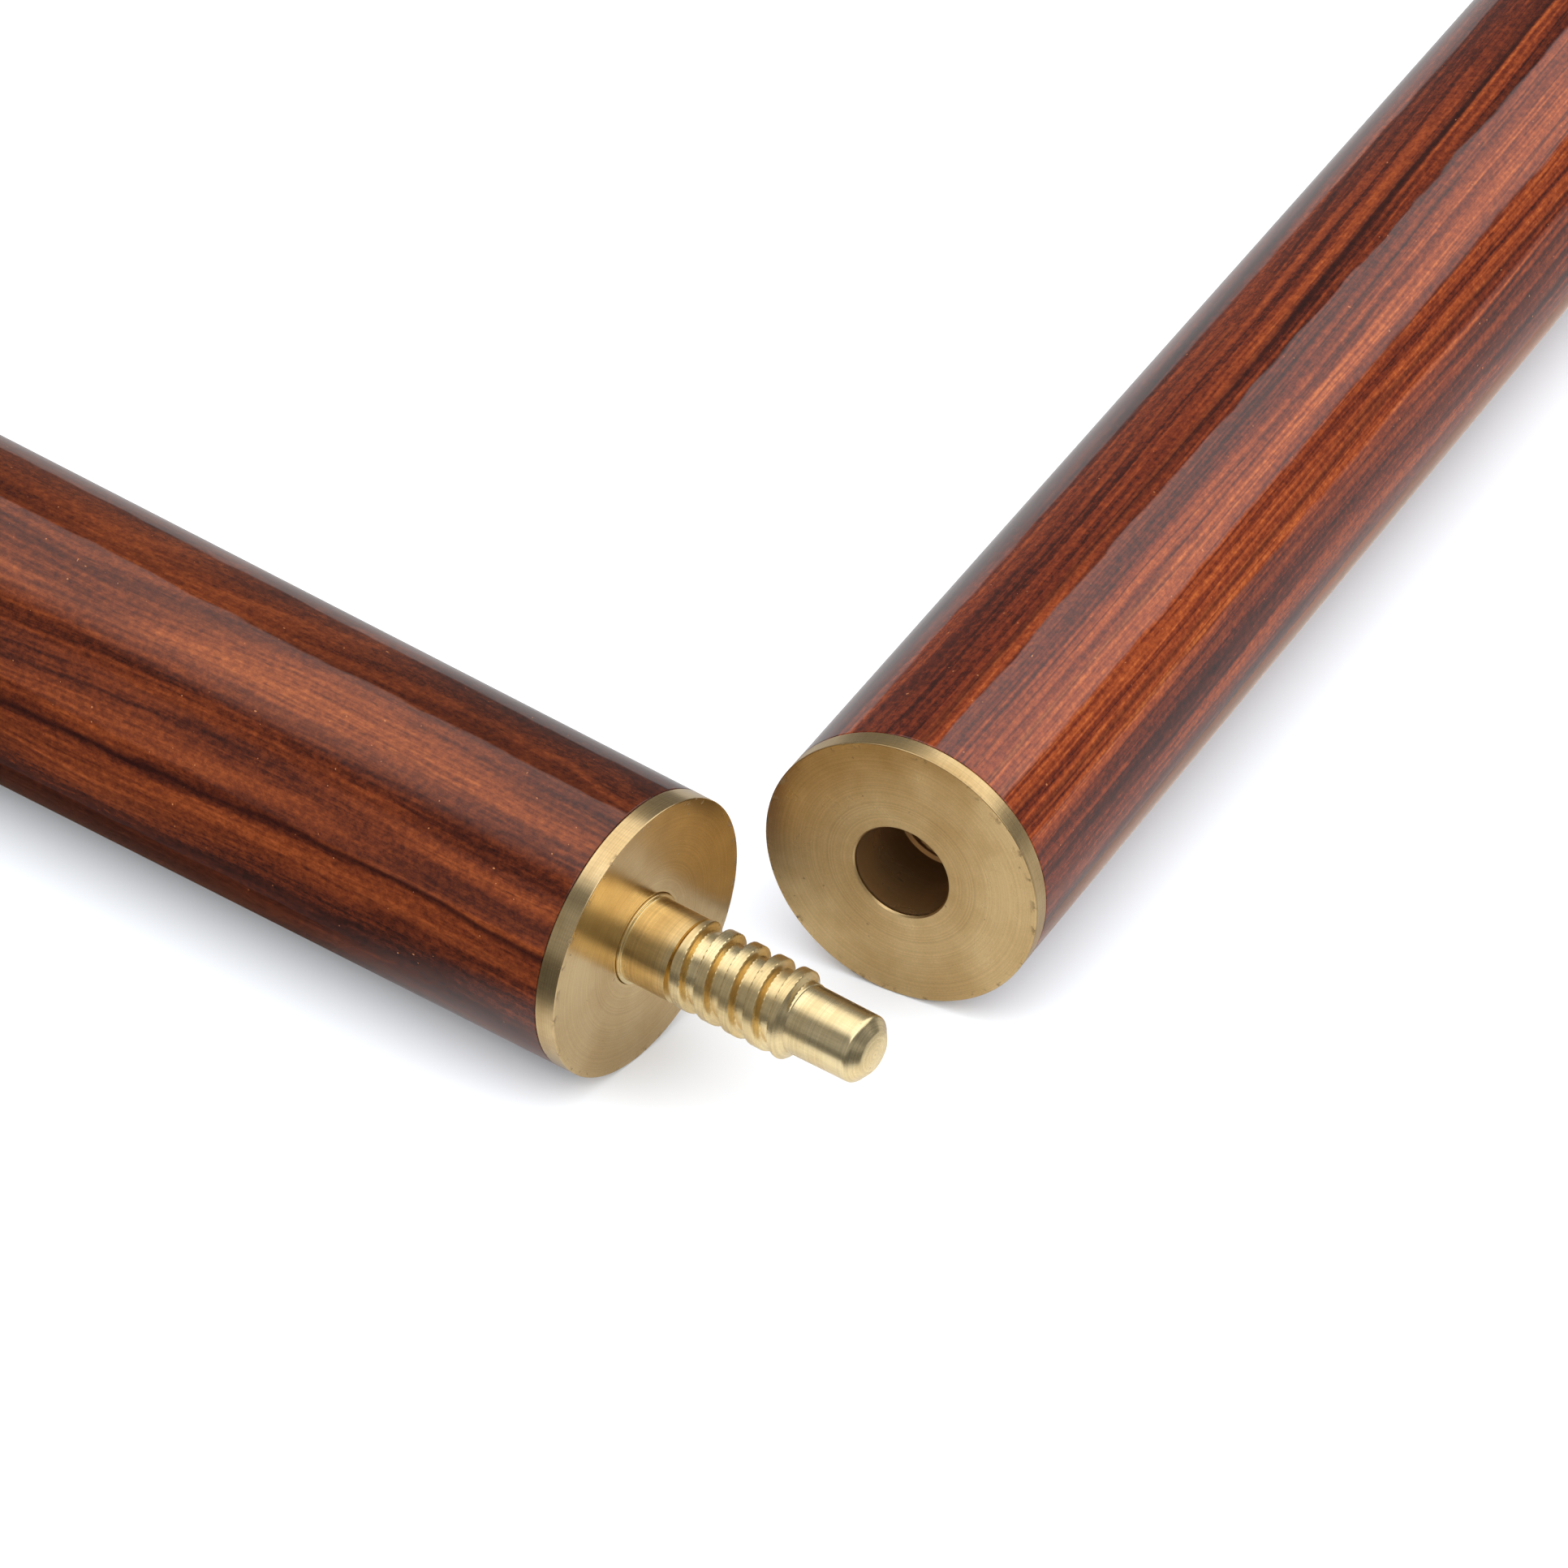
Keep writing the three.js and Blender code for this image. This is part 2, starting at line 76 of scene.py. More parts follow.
PIN_SHANK = 30.0
PIN_SHANK_RADIUS = 3.9
PIN_LIP = 0.2
PIN_BASE_RADIUS = 3.6
PIN_BASE_END = 4.4
PIN_THREAD_END = 15.5
PIN_CHAMFER = 0.6
PILOT_RADIUS = 2.92
PILOT_END = 21.3
PIN_LENGTH = 22.3
PIN_TIP_RADIUS = 1.8

PLATE_THICKNESS = 1.8
PLATE_BOSS_RADIUS = 7.0
PLATE_BOSS_END = 14.0
SOCKET_RIM = 1.67
BARREL_RADIUS = 7.0
BARREL_LENGTH = 29.0
BORE_MOUTH_RADIUS = 4.23
COUNTERBORE_RADIUS = 4.13
COUNTERBORE_DEPTH = 7.5
THREAD_BORE_END = 17.0
PILOT_BORE_RADIUS = 3.3
BORE_DEPTH = 25.0

SPLICE_TIP = 320.0
SPLICE_VALLEY = 120.0
WEDGE_START = 36.0
FERRULE_LENGTH = 8.4
TIP_LENGTH = 5.4
TENON_RADIUS = 3.5
TENON_LENGTH = 6.0
TIP_DOME = 2.2

BUMPER_LENGTH = 6.0
BUMPER_RADIUS = 10.5
END_PLATE_THICKNESS = 2.0
END_BOSS_RADIUS = 8.0
END_BOSS_LENGTH = 22.0
END_BORE_RADIUS = 4.3
END_BORE_DEPTH = 16.0
SCREW_RADIUS = 3.9
SCREW_HEAD_RADIUS = 5.6
SCREW_HEAD_HEIGHT = 2.6
SCREW_LENGTH = 14.0
SCREW_SINK = 0.7
SCREW_SLOT_WIDTH = 1.2
SCREW_SLOT_DEPTH = 1.1

FLAT_START = 300.0
FLAT_DEPTH = 3.2
BADGE_LENGTH = 44.0
BADGE_WIDTH = 9.0
BADGE_POSITION = 368.0
BADGE_PROUD = 0.12
WEIGHT_BORE_RADIUS = 6.5
WEIGHT_BORE_FRONT = 255.0

HAIRLINE = 0.03  # seam left between pieces that are fitted tight
WEDGE_CLEARANCE = 0.01
METAL_EDGE = 0.09  # rounding of the joint's turned corners
WOOD_EDGE = 0.1  # rounding of the wood where it meets brass
FINE_SIDES = 192
BORE_SIDES = 144
SMALL_SIDES = 96
MIDDLE_SIDES = 128
THREAD_STEP = 0.06
THREAD_SOFTNESS = 0.65
CORNER_STEPS = 4
CORNER_LIMIT = 0.45  # a rounded corner takes up no more than this share of the lines beside it
SUPPORT = 1.08  # a ring of points just outside each rounded corner keeps the flats beside it flat
SEEN_FROM_TOP = 0.05  # least cosine at which the badge's flat still cuts the butt's surface
TINY = 1e-6


def radius_at(y):
    """Radius of the cue at a distance from the joint, towards the tip."""
    return JOINT_RADIUS - TAPER * y


# ---------------------------------------------------------------- the halves' frames

def joint_record(name):
    return next(j for j in RECORD["behaviour"]["joints"] if j["name"] == name)


def mount_record(name):
    return next(m for m in RECORD["mounts"] if m["name"] == name)


def axis_frame(origin, forward):
    """Matrix whose +Y is the forward direction, with +Z as near up as it can be."""
    forward = Vector(forward).normalized()
    side = forward.cross(Vector((0, 0, 1))).normalized()
    matrix = Matrix((side, forward, side.cross(forward))).transposed().to_4x4()
    matrix.translation = origin
    return matrix


def shaft_frame():
    mount = mount_record("socket_face")
    low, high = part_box("joint_socket")
    centre = Vector(((low.x + high.x) / 2, mount["pos_m"][1], mount["pos_m"][2]))
    return axis_frame(centre, -Vector(mount["axis"]))


def butt_frame():
    turn = joint_record("butt_turn")
    return axis_frame(Vector(turn["pos_m"]), turn["axis"])


FRAMES = {"shaft_half": shaft_frame(), "butt_half": butt_frame()}
CROSSING = Vector(joint_record("butt_swing")["pos_m"])


# ---------------------------------------------------------------- mesh tools

def angles(sides):
    return np.linspace(0, 2 * math.pi, sides, endpoint=False)


def rounded(points, size):
    """The same (radius, y) outline with each inner corner rounded off by about size."""
    points = [np.array(p, float) for p in points]
    out = [points[0]]
    for before, corner, after in zip(points, points[1:], points[2:]):
        back, ahead = before - corner, after - corner
        longest = CORNER_LIMIT * min(np.linalg.norm(back), np.linalg.norm(ahead))
        reach = min(size, longest)
        start = corner + back / np.linalg.norm(back) * reach
        end = corner + ahead / np.linalg.norm(ahead) * reach
        out.append(corner + (start - corner) * SUPPORT)
        for t in np.linspace(0, 1, CORNER_STEPS + 1):
            out.append((1 - t) ** 2 * start + 2 * t * (1 - t) * corner + t ** 2 * end)
        out.append(corner + (end - corner) * SUPPORT)
    out.append(points[-1])
    return np.array(out)


def resampled(outline, step):
    """The same outline with points no further apart than step."""
    out = [outline[0]]
    for a, b in zip(outline, outline[1:]):
        count = max(1, math.ceil(np.linalg.norm(b - a) / step))
        for i in range(1, count + 1):
            out.append(a + (b - a) * i / count)
    return np.array(out)


def spread(outline, sides):
    """Radius and station grids of a plain turned shape."""
    radius = np.repeat(outline[:, :1], sides, axis=1)
    station = np.repeat(outline[:, 1:], sides, axis=1)
    return radius, station


def polar_mesh(name, radius, station, around, ring=False):
    """Mesh from grids of radius and station, one row for each outline point, one column for each
    angle. A first or last row on the axis becomes a single point. A ring's outline closes on itself.
    """
    rows, sides = radius.shape
    vertices, index = [], np.zeros((rows, sides), int)
    for row in range(rows):
        if not ring and row in (0, rows - 1) and radius[row].max() < TINY:
            index[row] = len(vertices)
            vertices.append((0, station[row, 0] * MM, 0))
            continue
        index[row] = len(vertices) + np.arange(sides)
        x = radius[row] * np.sin(around) * MM
        z = radius[row] * np.cos(around) * MM
        vertices.extend(zip(x, station[row] * MM, z))
    faces = []
    for row in range(rows if ring else rows - 1):
        here, there = index[row], index[(row + 1) % rows]
        for side in range(sides):
            after = (side + 1) % sides
            quad = (here[side], here[after], there[after], there[side])
            face = tuple(dict.fromkeys(int(v) for v in quad))
            if len(face) > 2:
                faces.append(face)
    mesh = bpy.data.meshes.new(name)
    mesh.from_pydata(vertices, [], faces)
    mesh.validate()
    return mesh


def finished(mesh, body, material, stands_for, sharp_angle=32):
    """An object from a mesh in a half's frame: shaded, coloured, laid in place and riding."""
    if signed_volume(mesh) < 0:
        mesh.flip_normals()
    mesh.shade_smooth()
    mesh.set_sharp_from_angle(angle=math.radians(sharp_angle))
    mesh.transform(FRAMES[body])
    mesh.materials.append(material)
    piece = bpy.data.objects.new(mesh.name, mesh)
    bpy.context.scene.collection.objects.link(piece)
    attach(piece, body)
    if stands_for:
        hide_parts(*stands_for)
    return piece


def signed_volume(mesh):
    mesh.calc_loop_triangles()
    points = np.zeros(len(mesh.vertices) * 3)
    mesh.vertices.foreach_get("co", points)
    points = points.reshape(-1, 3)
    corners = np.zeros(len(mesh.loop_triangles) * 3, int)
    mesh.loop_triangles.foreach_get("vertices", corners)
    a, b, c = points[corners.reshape(-1, 3)].transpose(1, 0, 2)
    return float(np.einsum("ij,ij->i", a, np.cross(b, c)).sum()) / 6


def thread_radius(y, around, crest_at_top, clearance, side_clearance):
    """Radius of a right-hand thread, with softened edges, at stations y and angles around."""
    shifted = y - crest_at_top - PITCH * around / (2 * math.pi)
    from_crest = np.abs((shifted + PITCH / 2) % PITCH - PITCH / 2)
    edge = CREST_WIDTH / 2 + side_clearance
    rise = np.clip((edge + FLANK_WIDTH - from_crest) / FLANK_WIDTH, 0, 1)
    soft = rise * rise * (3 - 2 * rise)
    rise += THREAD_SOFTNESS * (soft - rise)
    return THREAD_ROOT_RADIUS + clearance + (THREAD_CREST_RADIUS - THREAD_ROOT_RADIUS) * rise


# ---------------------------------------------------------------- the joint

THREAD_INSET = 0.1
GROOVE_START = 0.05
GROOVE_EASE = 2.0  # radius gained for each millimetre along
RIDGE_START = 0.25
RIDGE_EASE = 1.5
BORE_CHAMFER = 0.45
MOUTH_CHAMFER = 0.16
MOUTH_FLARE = 0.04
PIN_NECK = 0.18
PILOT_TAPER = 0.05
PIN_CROWN = 0.12


def thread_in_bore(radius, station, around):
    """Cuts the socket's thread, which eases in and out at its ends, into the rows of its bore."""
    crest_at_top = CREST_AT_TOP - SCREW_TRAVEL - CLOSED_GAP
    groove = thread_radius(station, around, crest_at_top, THREAD_CLEARANCE, THREAD_SIDE_CLEARANCE)
    entry = (station - COUNTERBORE_DEPTH + GROOVE_START) * GROOVE_EASE + PILOT_BORE_RADIUS
    run_out = (THREAD_BORE_END - station) * GROOVE_EASE + PILOT_BORE_RADIUS
    groove = np.minimum(groove, np.minimum(entry, run_out))
    threaded = (station > COUNTERBORE_DEPTH + THREAD_INSET) & (station < THREAD_BORE_END)
    in_bore = threaded & (np.arange(len(radius))[:, None] < bore_rows(station))
    return np.where(in_bore, np.maximum(radius, groove), radius)


def bore_rows(station):
    """How many of the first rows belong to the bore: they run out to the mouth at y = 0."""
    return int(np.argmax(station[:, 0] <= TINY))


def build_socket(material):
    bore = rounded(
        [
            (0, BORE_DEPTH),
            (PILOT_BORE_RADIUS, BORE_DEPTH),
            (PILOT_BORE_RADIUS, COUNTERBORE_DEPTH + BORE_CHAMFER),
            (COUNTERBORE_RADIUS, COUNTERBORE_DEPTH),
            (COUNTERBORE_RADIUS, MOUTH_CHAMFER),
            (BORE_MOUTH_RADIUS + MOUTH_FLARE, 0),
        ],
        0.05,
    )
    outside = rounded(
        [
            (BORE_MOUTH_RADIUS + MOUTH_FLARE, 0),
            (radius_at(0), 0),
            (radius_at(SOCKET_RIM), SOCKET_RIM),
            (BARREL_RADIUS, SOCKET_RIM),
            (BARREL_RADIUS, BARREL_LENGTH),
            (0, BARREL_LENGTH),
        ],
        METAL_EDGE,
    )
    outline = np.vstack([resampled(bore, THREAD_STEP), resampled(outside, 1.0)[1:]])
    around = angles(BORE_SIDES)
    radius, station = spread(outline, BORE_SIDES)
    radius = thread_in_bore(radius, station, around[None, :])
    mesh = polar_mesh("socket_turned", radius, station, around)
    return finished(mesh, "shaft_half", material, ["joint_socket"], 24)


def build_pin(material):
    shank = rounded(
        [
            (0, -PIN_SHANK),
            (PIN_SHANK_RADIUS, -PIN_SHANK),
            (PIN_SHANK_RADIUS, PIN_LIP),
            (PIN_BASE_RADIUS, PIN_LIP + HAIRLINE),
            (PIN_BASE_RADIUS, PIN_BASE_END),
        ],
        0.06,
    )
    front = rounded(
        [
            (PIN_BASE_RADIUS, PIN_BASE_END),
            (THREAD_ROOT_RADIUS, PIN_BASE_END + PIN_NECK),
            (PILOT_RADIUS, PIN_THREAD_END),
            (PILOT_RADIUS - PILOT_TAPER, PILOT_END),
            (PIN_TIP_RADIUS, PIN_LENGTH - PIN_CROWN),
            (PIN_TIP_RADIUS * 0.5, PIN_LENGTH),
            (0, PIN_LENGTH + 0.02),
        ],
        0.22,
    )
    outline = np.vstack([resampled(shank, 1.0), resampled(front, THREAD_STEP)[1:]])
    around = angles(BORE_SIDES)
    radius, station = spread(outline, BORE_SIDES)
    ridge = thread_radius(station, around[None, :], CREST_AT_TOP, 0, 0)
    lead_in = PIN_BASE_RADIUS + (station - PIN_BASE_END - RIDGE_START) * RIDGE_EASE
    lead_out = PILOT_RADIUS + (PIN_THREAD_END - station) * (
        (THREAD_CREST_RADIUS - PILOT_RADIUS) / PIN_CHAMFER
    )
    ridge = np.minimum(ridge, np.minimum(lead_in, lead_out))
    threaded = (station > PIN_BASE_END + THREAD_INSET) & (station < PIN_THREAD_END)
    radius = np.where(threaded, np.maximum(radius, ridge), radius)
    mesh = polar_mesh("pin_turned", radius, station, around)
    return finished(mesh, "butt_half", material, ["joint_pin"], 24)


def closed_ring(points, size):
    """A ring's outline with rounded corners; its first corner stays as it is."""
    return rounded(points + [points[0]], size)[:-1]


def build_plate(material):
    hole = PIN_SHANK_RADIUS + HAIRLINE
    outline = closed_ring(
        [
            (hole, -PLATE_BOSS_END),
            (hole, 0),
            (radius_at(0), 0),
            (radius_at(-PLATE_THICKNESS), -PLATE_THICKNESS),
            (PLATE_BOSS_RADIUS, -PLATE_THICKNESS),
            (PLATE_BOSS_RADIUS, -PLATE_BOSS_END),
        ],
        METAL_EDGE,
    )
    radius, station = spread(outline, FINE_SIDES)
    mesh = polar_mesh("plate_turned", radius, station, angles(FINE_SIDES), ring=True)
    return finished(mesh, "butt_half", material, ["joint_plate"], 24)


# ---------------------------------------------------------------- shaft half

def wedge_half_width(y):
    """Half width of the square ash wedge inside the splice."""
    at_tip = radius_at(SPLICE_TIP)
    at_valley = radius_at(SPLICE_VALLEY) / math.sqrt(2)
    return at_valley + (at_tip - at_valley) * (y - SPLICE_VALLEY) / (SPLICE_TIP - SPLICE_VALLEY)


def off_flat(around):
    """Angle from the middle of the wedge's nearest flat."""
    quarter = math.pi / 2
    return (around + quarter / 2) % quarter - quarter / 2


def splice_line(around):
    """How far from the joint the wedge's flat comes out of the round surface, at each angle."""
    slope = (wedge_half_width(SPLICE_TIP) - wedge_half_width(SPLICE_VALLEY)) / (
        SPLICE_TIP - SPLICE_VALLEY
    )
    lean = np.cos(off_flat(around))
    start = wedge_half_width(0)
    return (JOINT_RADIUS * lean - start) / (slope + TAPER * lean)


def between(start, end, rows, around):
    """Station grid whose rows step from one line around the cue to another."""
    start = np.broadcast_to(start, around.shape)
    end = np.broadcast_to(end, around.shape)
    return start + (end - start) * np.linspace(0, 1, rows)[:, None]


def sections(around, *parts):
    """Joins (radius, station) grids and single (radius, station) rings into one pair of grids."""
    radii, stations = [], []
    for radius, station in parts:
        station = np.atleast_2d(np.broadcast_to(station, np.shape(station) or (1, len(around))))
        station = np.broadcast_to(station, (station.shape[0], len(around)))
        radii.append(np.broadcast_to(radius, station.shape))
        stations.append(station)
    return np.vstack(radii), np.vstack(stations)


def worn_edge(front, away):
    """Rings of a softened edge between an end face at front and the side that runs away from it."""
    corner = 0.3 * WOOD_EDGE
    return [
        (radius_at(front) - WOOD_EDGE, front),
        (radius_at(front) - corner, front + away * corner),
        (radius_at(front + away * WOOD_EDGE), front + away * WOOD_EDGE),
    ]


def build_splice(material):
    around = angles(FINE_SIDES)
    line = splice_line(around)
    front = SOCKET_RIM + HAIRLINE
    hole = BARREL_RADIUS + HAIRLINE
    outer = between(front + WOOD_EDGE * SUPPORT, line, 60, around)
    inner = between(line, WEDGE_START, 24, around)[1:]
    radius, station = sections(
        around,
        (0.0, BARREL_LENGTH + HAIRLINE),
        (hole, BARREL_LENGTH + HAIRLINE),
        (hole, front),
        *worn_edge(front, 1),
        (radius_at(outer), outer),
        (wedge_half_width(inner) / np.cos(off_flat(around)), inner),
        (0.0, WEDGE_START),
    )
    mesh = polar_mesh("splice_rosewood", radius, station, around)
    return finished(mesh, "shaft_half", material, ["splice"])


def build_shaft(material):
    around = angles(FINE_SIDES)
    line = splice_line(around)
    end = SHAFT_LENGTH - TIP_LENGTH - FERRULE_LENGTH
    inner = between(WEDGE_START, line, 24, around)
    outer = between(line, end, 80, around)[1:]
    radius, station = sections(
        around,
        (0.0, WEDGE_START),
        (wedge_half_width(inner) / np.cos(off_flat(around)) - WEDGE_CLEARANCE, inner),
        (radius_at(outer), outer),
        (TENON_RADIUS, end),
        (TENON_RADIUS, end + TENON_LENGTH),
        (0.0, end + TENON_LENGTH),
    )
    mesh = polar_mesh("shaft_ash", radius, station, around)
    return finished(mesh, "shaft_half", material, ["shaft"])


# The line turned near the ferrule's back: distance along and depth
FERRULE_LINE = [(0.9, 0.02), (1.0, 0.09), (1.15, 0.09), (1.25, 0.02)]


def build_ferrule(material):
    front = SHAFT_LENGTH - TIP_LENGTH - HAIRLINE
    back = SHAFT_LENGTH - TIP_LENGTH - FERRULE_LENGTH + HAIRLINE
    floor = back + TENON_LENGTH
    outline = rounded(
        [
            (0, floor),
            (TENON_RADIUS + HAIRLINE, floor),
            (TENON_RADIUS + HAIRLINE, back),
            (radius_at(back), back),
            *[(radius_at(back + along) - depth, back + along) for along, depth in FERRULE_LINE],
            (radius_at(front), front),
            (0, front),
        ],
        0.08,
    )
    radius, station = spread(outline, FINE_SIDES)
    mesh = polar_mesh("ferrule_turned", radius, station, angles(FINE_SIDES))
    return finished(mesh, "shaft_half", material, ["ferrule"], 24)


TIP_SWELL = 0.03
TIP_SCUFF = 0.012
TIP_SMOOTH_CENTRE = 0.4


def build_tip(material):
    """Layered leather, very slightly swollen by play, with a domed and scuffed crown."""
    back = SHAFT_LENGTH - TIP_LENGTH
    edge = SHAFT_LENGTH - TIP_DOME
    rim = radius_at(edge)
    points = [(0, back), (rim, back)]
    for t in np.linspace(0.1, 1, 8):
        points.append((rim + TIP_SWELL * math.sin(math.pi * t), back + (edge - back) * t))
    for t in np.linspace(0.08, 1, 14):
        angle = t * math.pi / 2
        points.append((rim * math.cos(angle), edge + TIP_DOME * math.sin(angle)))
    outline = resampled(rounded(points, 0.15), 0.2)
    around = angles(SMALL_SIDES)
    radius, station = spread(outline, SMALL_SIDES)
    scuff = np.sin(around * 7 + station * 9) * np.sin(around * 11 - station * 5) * TIP_SCUFF
    radius = np.where(radius > TIP_SMOOTH_CENTRE, radius + scuff - TIP_SCUFF, radius)
    mesh = polar_mesh("tip_leather", radius, station, around)
    return finished(mesh, "shaft_half", material, ["tip"])


# ---------------------------------------------------------------- butt half

END_PLATE_BACK = -(BUTT_LENGTH - BUMPER_LENGTH)
WOOD_BACK = END_PLATE_BACK + END_PLATE_THICKNESS + HAIRLINE
FLAT_SLOPE = (FLAT_DEPTH - TAPER * (BUTT_LENGTH - FLAT_START)) / (BUTT_LENGTH - FLAT_START)


def flat_height(y):
    """Height of the badge's flat above the axis."""
    return radius_at(-FLAT_START) - FLAT_SLOPE * (-y - FLAT_START)


def flat_line(around):
    """Station at which the flat runs out of the round surface, at each angle."""
    lean = np.maximum(np.cos(around), SEEN_FROM_TOP)
    top = radius_at(-FLAT_START) + FLAT_SLOPE * FLAT_START - JOINT_RADIUS * lean
    return -top / (FLAT_SLOPE + TAPER * lean)


def with_flat(y, around):
    """The butt's radius where the flat cuts it."""
    lean = np.maximum(np.cos(around), SEEN_FROM_TOP)
    return np.minimum(radius_at(y), flat_height(y) / lean)


def build_butt(material):
    around = angles(FINE_SIDES)
    front = -PLATE_THICKNESS - HAIRLINE
    boss = PLATE_BOSS_RADIUS + HAIRLINE
    shank = PIN_SHANK_RADIUS + HAIRLINE
    end_hole = END_BOSS_RADIUS + HAIRLINE
    line = np.maximum(flat_line(around), WOOD_BACK + 0.5)
    round_part = between(front - WOOD_EDGE * SUPPORT, line, 70, around)
    flat_part = between(line, WOOD_BACK + WOOD_EDGE * SUPPORT, 16, around)[1:]
    rim = with_flat(WOOD_BACK, around)
    radius, station = sections(
        around,
        (0.0, -PIN_SHANK - HAIRLINE),
        (shank, -PIN_SHANK - HAIRLINE),
        (shank, -PLATE_BOSS_END - HAIRLINE),
        (boss, -PLATE_BOSS_END - HAIRLINE),
        (boss, front),
        *worn_edge(front, -1),
        (radius_at(round_part), round_part),
        (with_flat(flat_part, around), flat_part),
        (with_flat(WOOD_BACK + WOOD_EDGE, around), WOOD_BACK + WOOD_EDGE),
        (rim - WOOD_EDGE, WOOD_BACK),
        (end_hole, WOOD_BACK),
        (end_hole, END_PLATE_BACK + END_BOSS_LENGTH),
        (WEIGHT_BORE_RADIUS, END_PLATE_BACK + END_BOSS_LENGTH),
        (WEIGHT_BORE_RADIUS, -WEIGHT_BORE_FRONT),
        (0.0, -WEIGHT_BORE_FRONT),
    )
    mesh = polar_mesh("butt_rosewood", radius, station, around)
    return finished(mesh, "butt_half", material, ["butt"])


def build_end_plate(material):
    outline = rounded(
        [
            (0, END_PLATE_BACK + END_BORE_DEPTH),
            (END_BORE_RADIUS, END_PLATE_BACK + END_BORE_DEPTH),
            (END_BORE_RADIUS, END_PLATE_BACK),
            (radius_at(END_PLATE_BACK), END_PLATE_BACK),
            (radius_at(END_PLATE_BACK), END_PLATE_BACK + END_PLATE_THICKNESS),
            (END_BOSS_RADIUS, END_PLATE_BACK + END_PLATE_THICKNESS),
            (END_BOSS_RADIUS, END_PLATE_BACK + END_BOSS_LENGTH),
            (0, END_PLATE_BACK + END_BOSS_LENGTH),
        ],
        0.18,
    )
    around = angles(FINE_SIDES)
    radius, station = spread(outline, FINE_SIDES)
    lean = np.maximum(np.cos(around), SEEN_FROM_TOP)
    radius = np.minimum(radius, flat_height(station) / lean)
    mesh = polar_mesh("end_plate_turned", radius, station, around)
    return finished(mesh, "butt_half", material, ["end_plate"], 24)


def build_bumper(material):
    back = -BUTT_LENGTH
    front = END_PLATE_BACK - HAIRLINE
    head_floor = back + SCREW_HEAD_HEIGHT + SCREW_SINK
    outline = closed_ring(
        [
            (SCREW_RADIUS + 0.1, head_floor),
            (SCREW_RADIUS + 0.1, front),
            (BUMPER_RADIUS - 0.4, front),
            (BUMPER_RADIUS, front - 0.4),
            (BUMPER_RADIUS, back + 1.8),
            (BUMPER_RADIUS - 0.45, back + 0.7),
            (BUMPER_RADIUS - 1.6, back),
            (SCREW_HEAD_RADIUS + 0.6, back),
            (SCREW_HEAD_RADIUS + 0.25, back + 0.4),
            (SCREW_HEAD_RADIUS + 0.25, head_floor),
        ],
        0.5,
    )
    radius, station = spread(outline, MIDDLE_SIDES)
    mesh = polar_mesh("bumper_rubber", radius, station, angles(MIDDLE_SIDES), ring=True)
    return finished(mesh, "butt_half", material, ["bumper"])


def box_mesh(name, low, high):
    """Closed box, used only to cut a slot."""
    corners = [
        (x * MM, y * MM, z * MM) for x in (low[0], high[0]) for y in (low[1], high[1])
        for z in (low[2], high[2])
    ]
    faces = [(0, 1, 3, 2), (4, 6, 7, 5), (0, 4, 5, 1), (2, 3, 7, 6), (0, 2, 6, 4), (1, 5, 7, 3)]
    mesh = bpy.data.meshes.new(name)
    mesh.from_pydata(corners, [], faces)
    return mesh


def cut(mesh, cutter):
    """The mesh with the cutter's volume taken away."""
    holder = bpy.data.objects.new("cut_holder", mesh)
    tool = bpy.data.objects.new("cut_tool", cutter)
    for thing in (holder, tool):
        bpy.context.scene.collection.objects.link(thing)
    modifier = holder.modifiers.new("cut", "BOOLEAN")
    modifier.operation = "DIFFERENCE"
    modifier.solver = "EXACT"
    modifier.object = tool
    evaluated = holder.evaluated_get(bpy.context.evaluated_depsgraph_get())
    result = bpy.data.meshes.new_from_object(evaluated)
    result.name = mesh.name + "_slotted"
    for thing in (holder, tool):
        bpy.data.objects.remove(thing)
    return result


def build_bumper_screw(material):
    back = -BUTT_LENGTH + SCREW_SINK
    neck = back + SCREW_HEAD_HEIGHT
    outline = rounded(
        [
            (0, back),
            (SCREW_HEAD_RADIUS * 0.7, back + 0.06),
            (SCREW_HEAD_RADIUS, back + 0.5),
            (SCREW_HEAD_RADIUS, neck),
            (SCREW_RADIUS, neck),
            (SCREW_RADIUS, back + SCREW_LENGTH - 1),
            (SCREW_RADIUS - 1, back + SCREW_LENGTH),
            (0, back + SCREW_LENGTH),
        ],
        0.25,
    )
    radius, station = spread(outline, SMALL_SIDES)
    solid = polar_mesh("screw", radius, station, angles(SMALL_SIDES))
    if signed_volume(solid) < 0:
        solid.flip_normals()
    half = SCREW_SLOT_WIDTH / 2
    slot = box_mesh("slot", (-half, back - 1, -10), (half, back + SCREW_SLOT_DEPTH, 10))
    mesh = cut(solid, slot)
    return finished(mesh, "butt_half", material, ["bumper_screw"], 24)


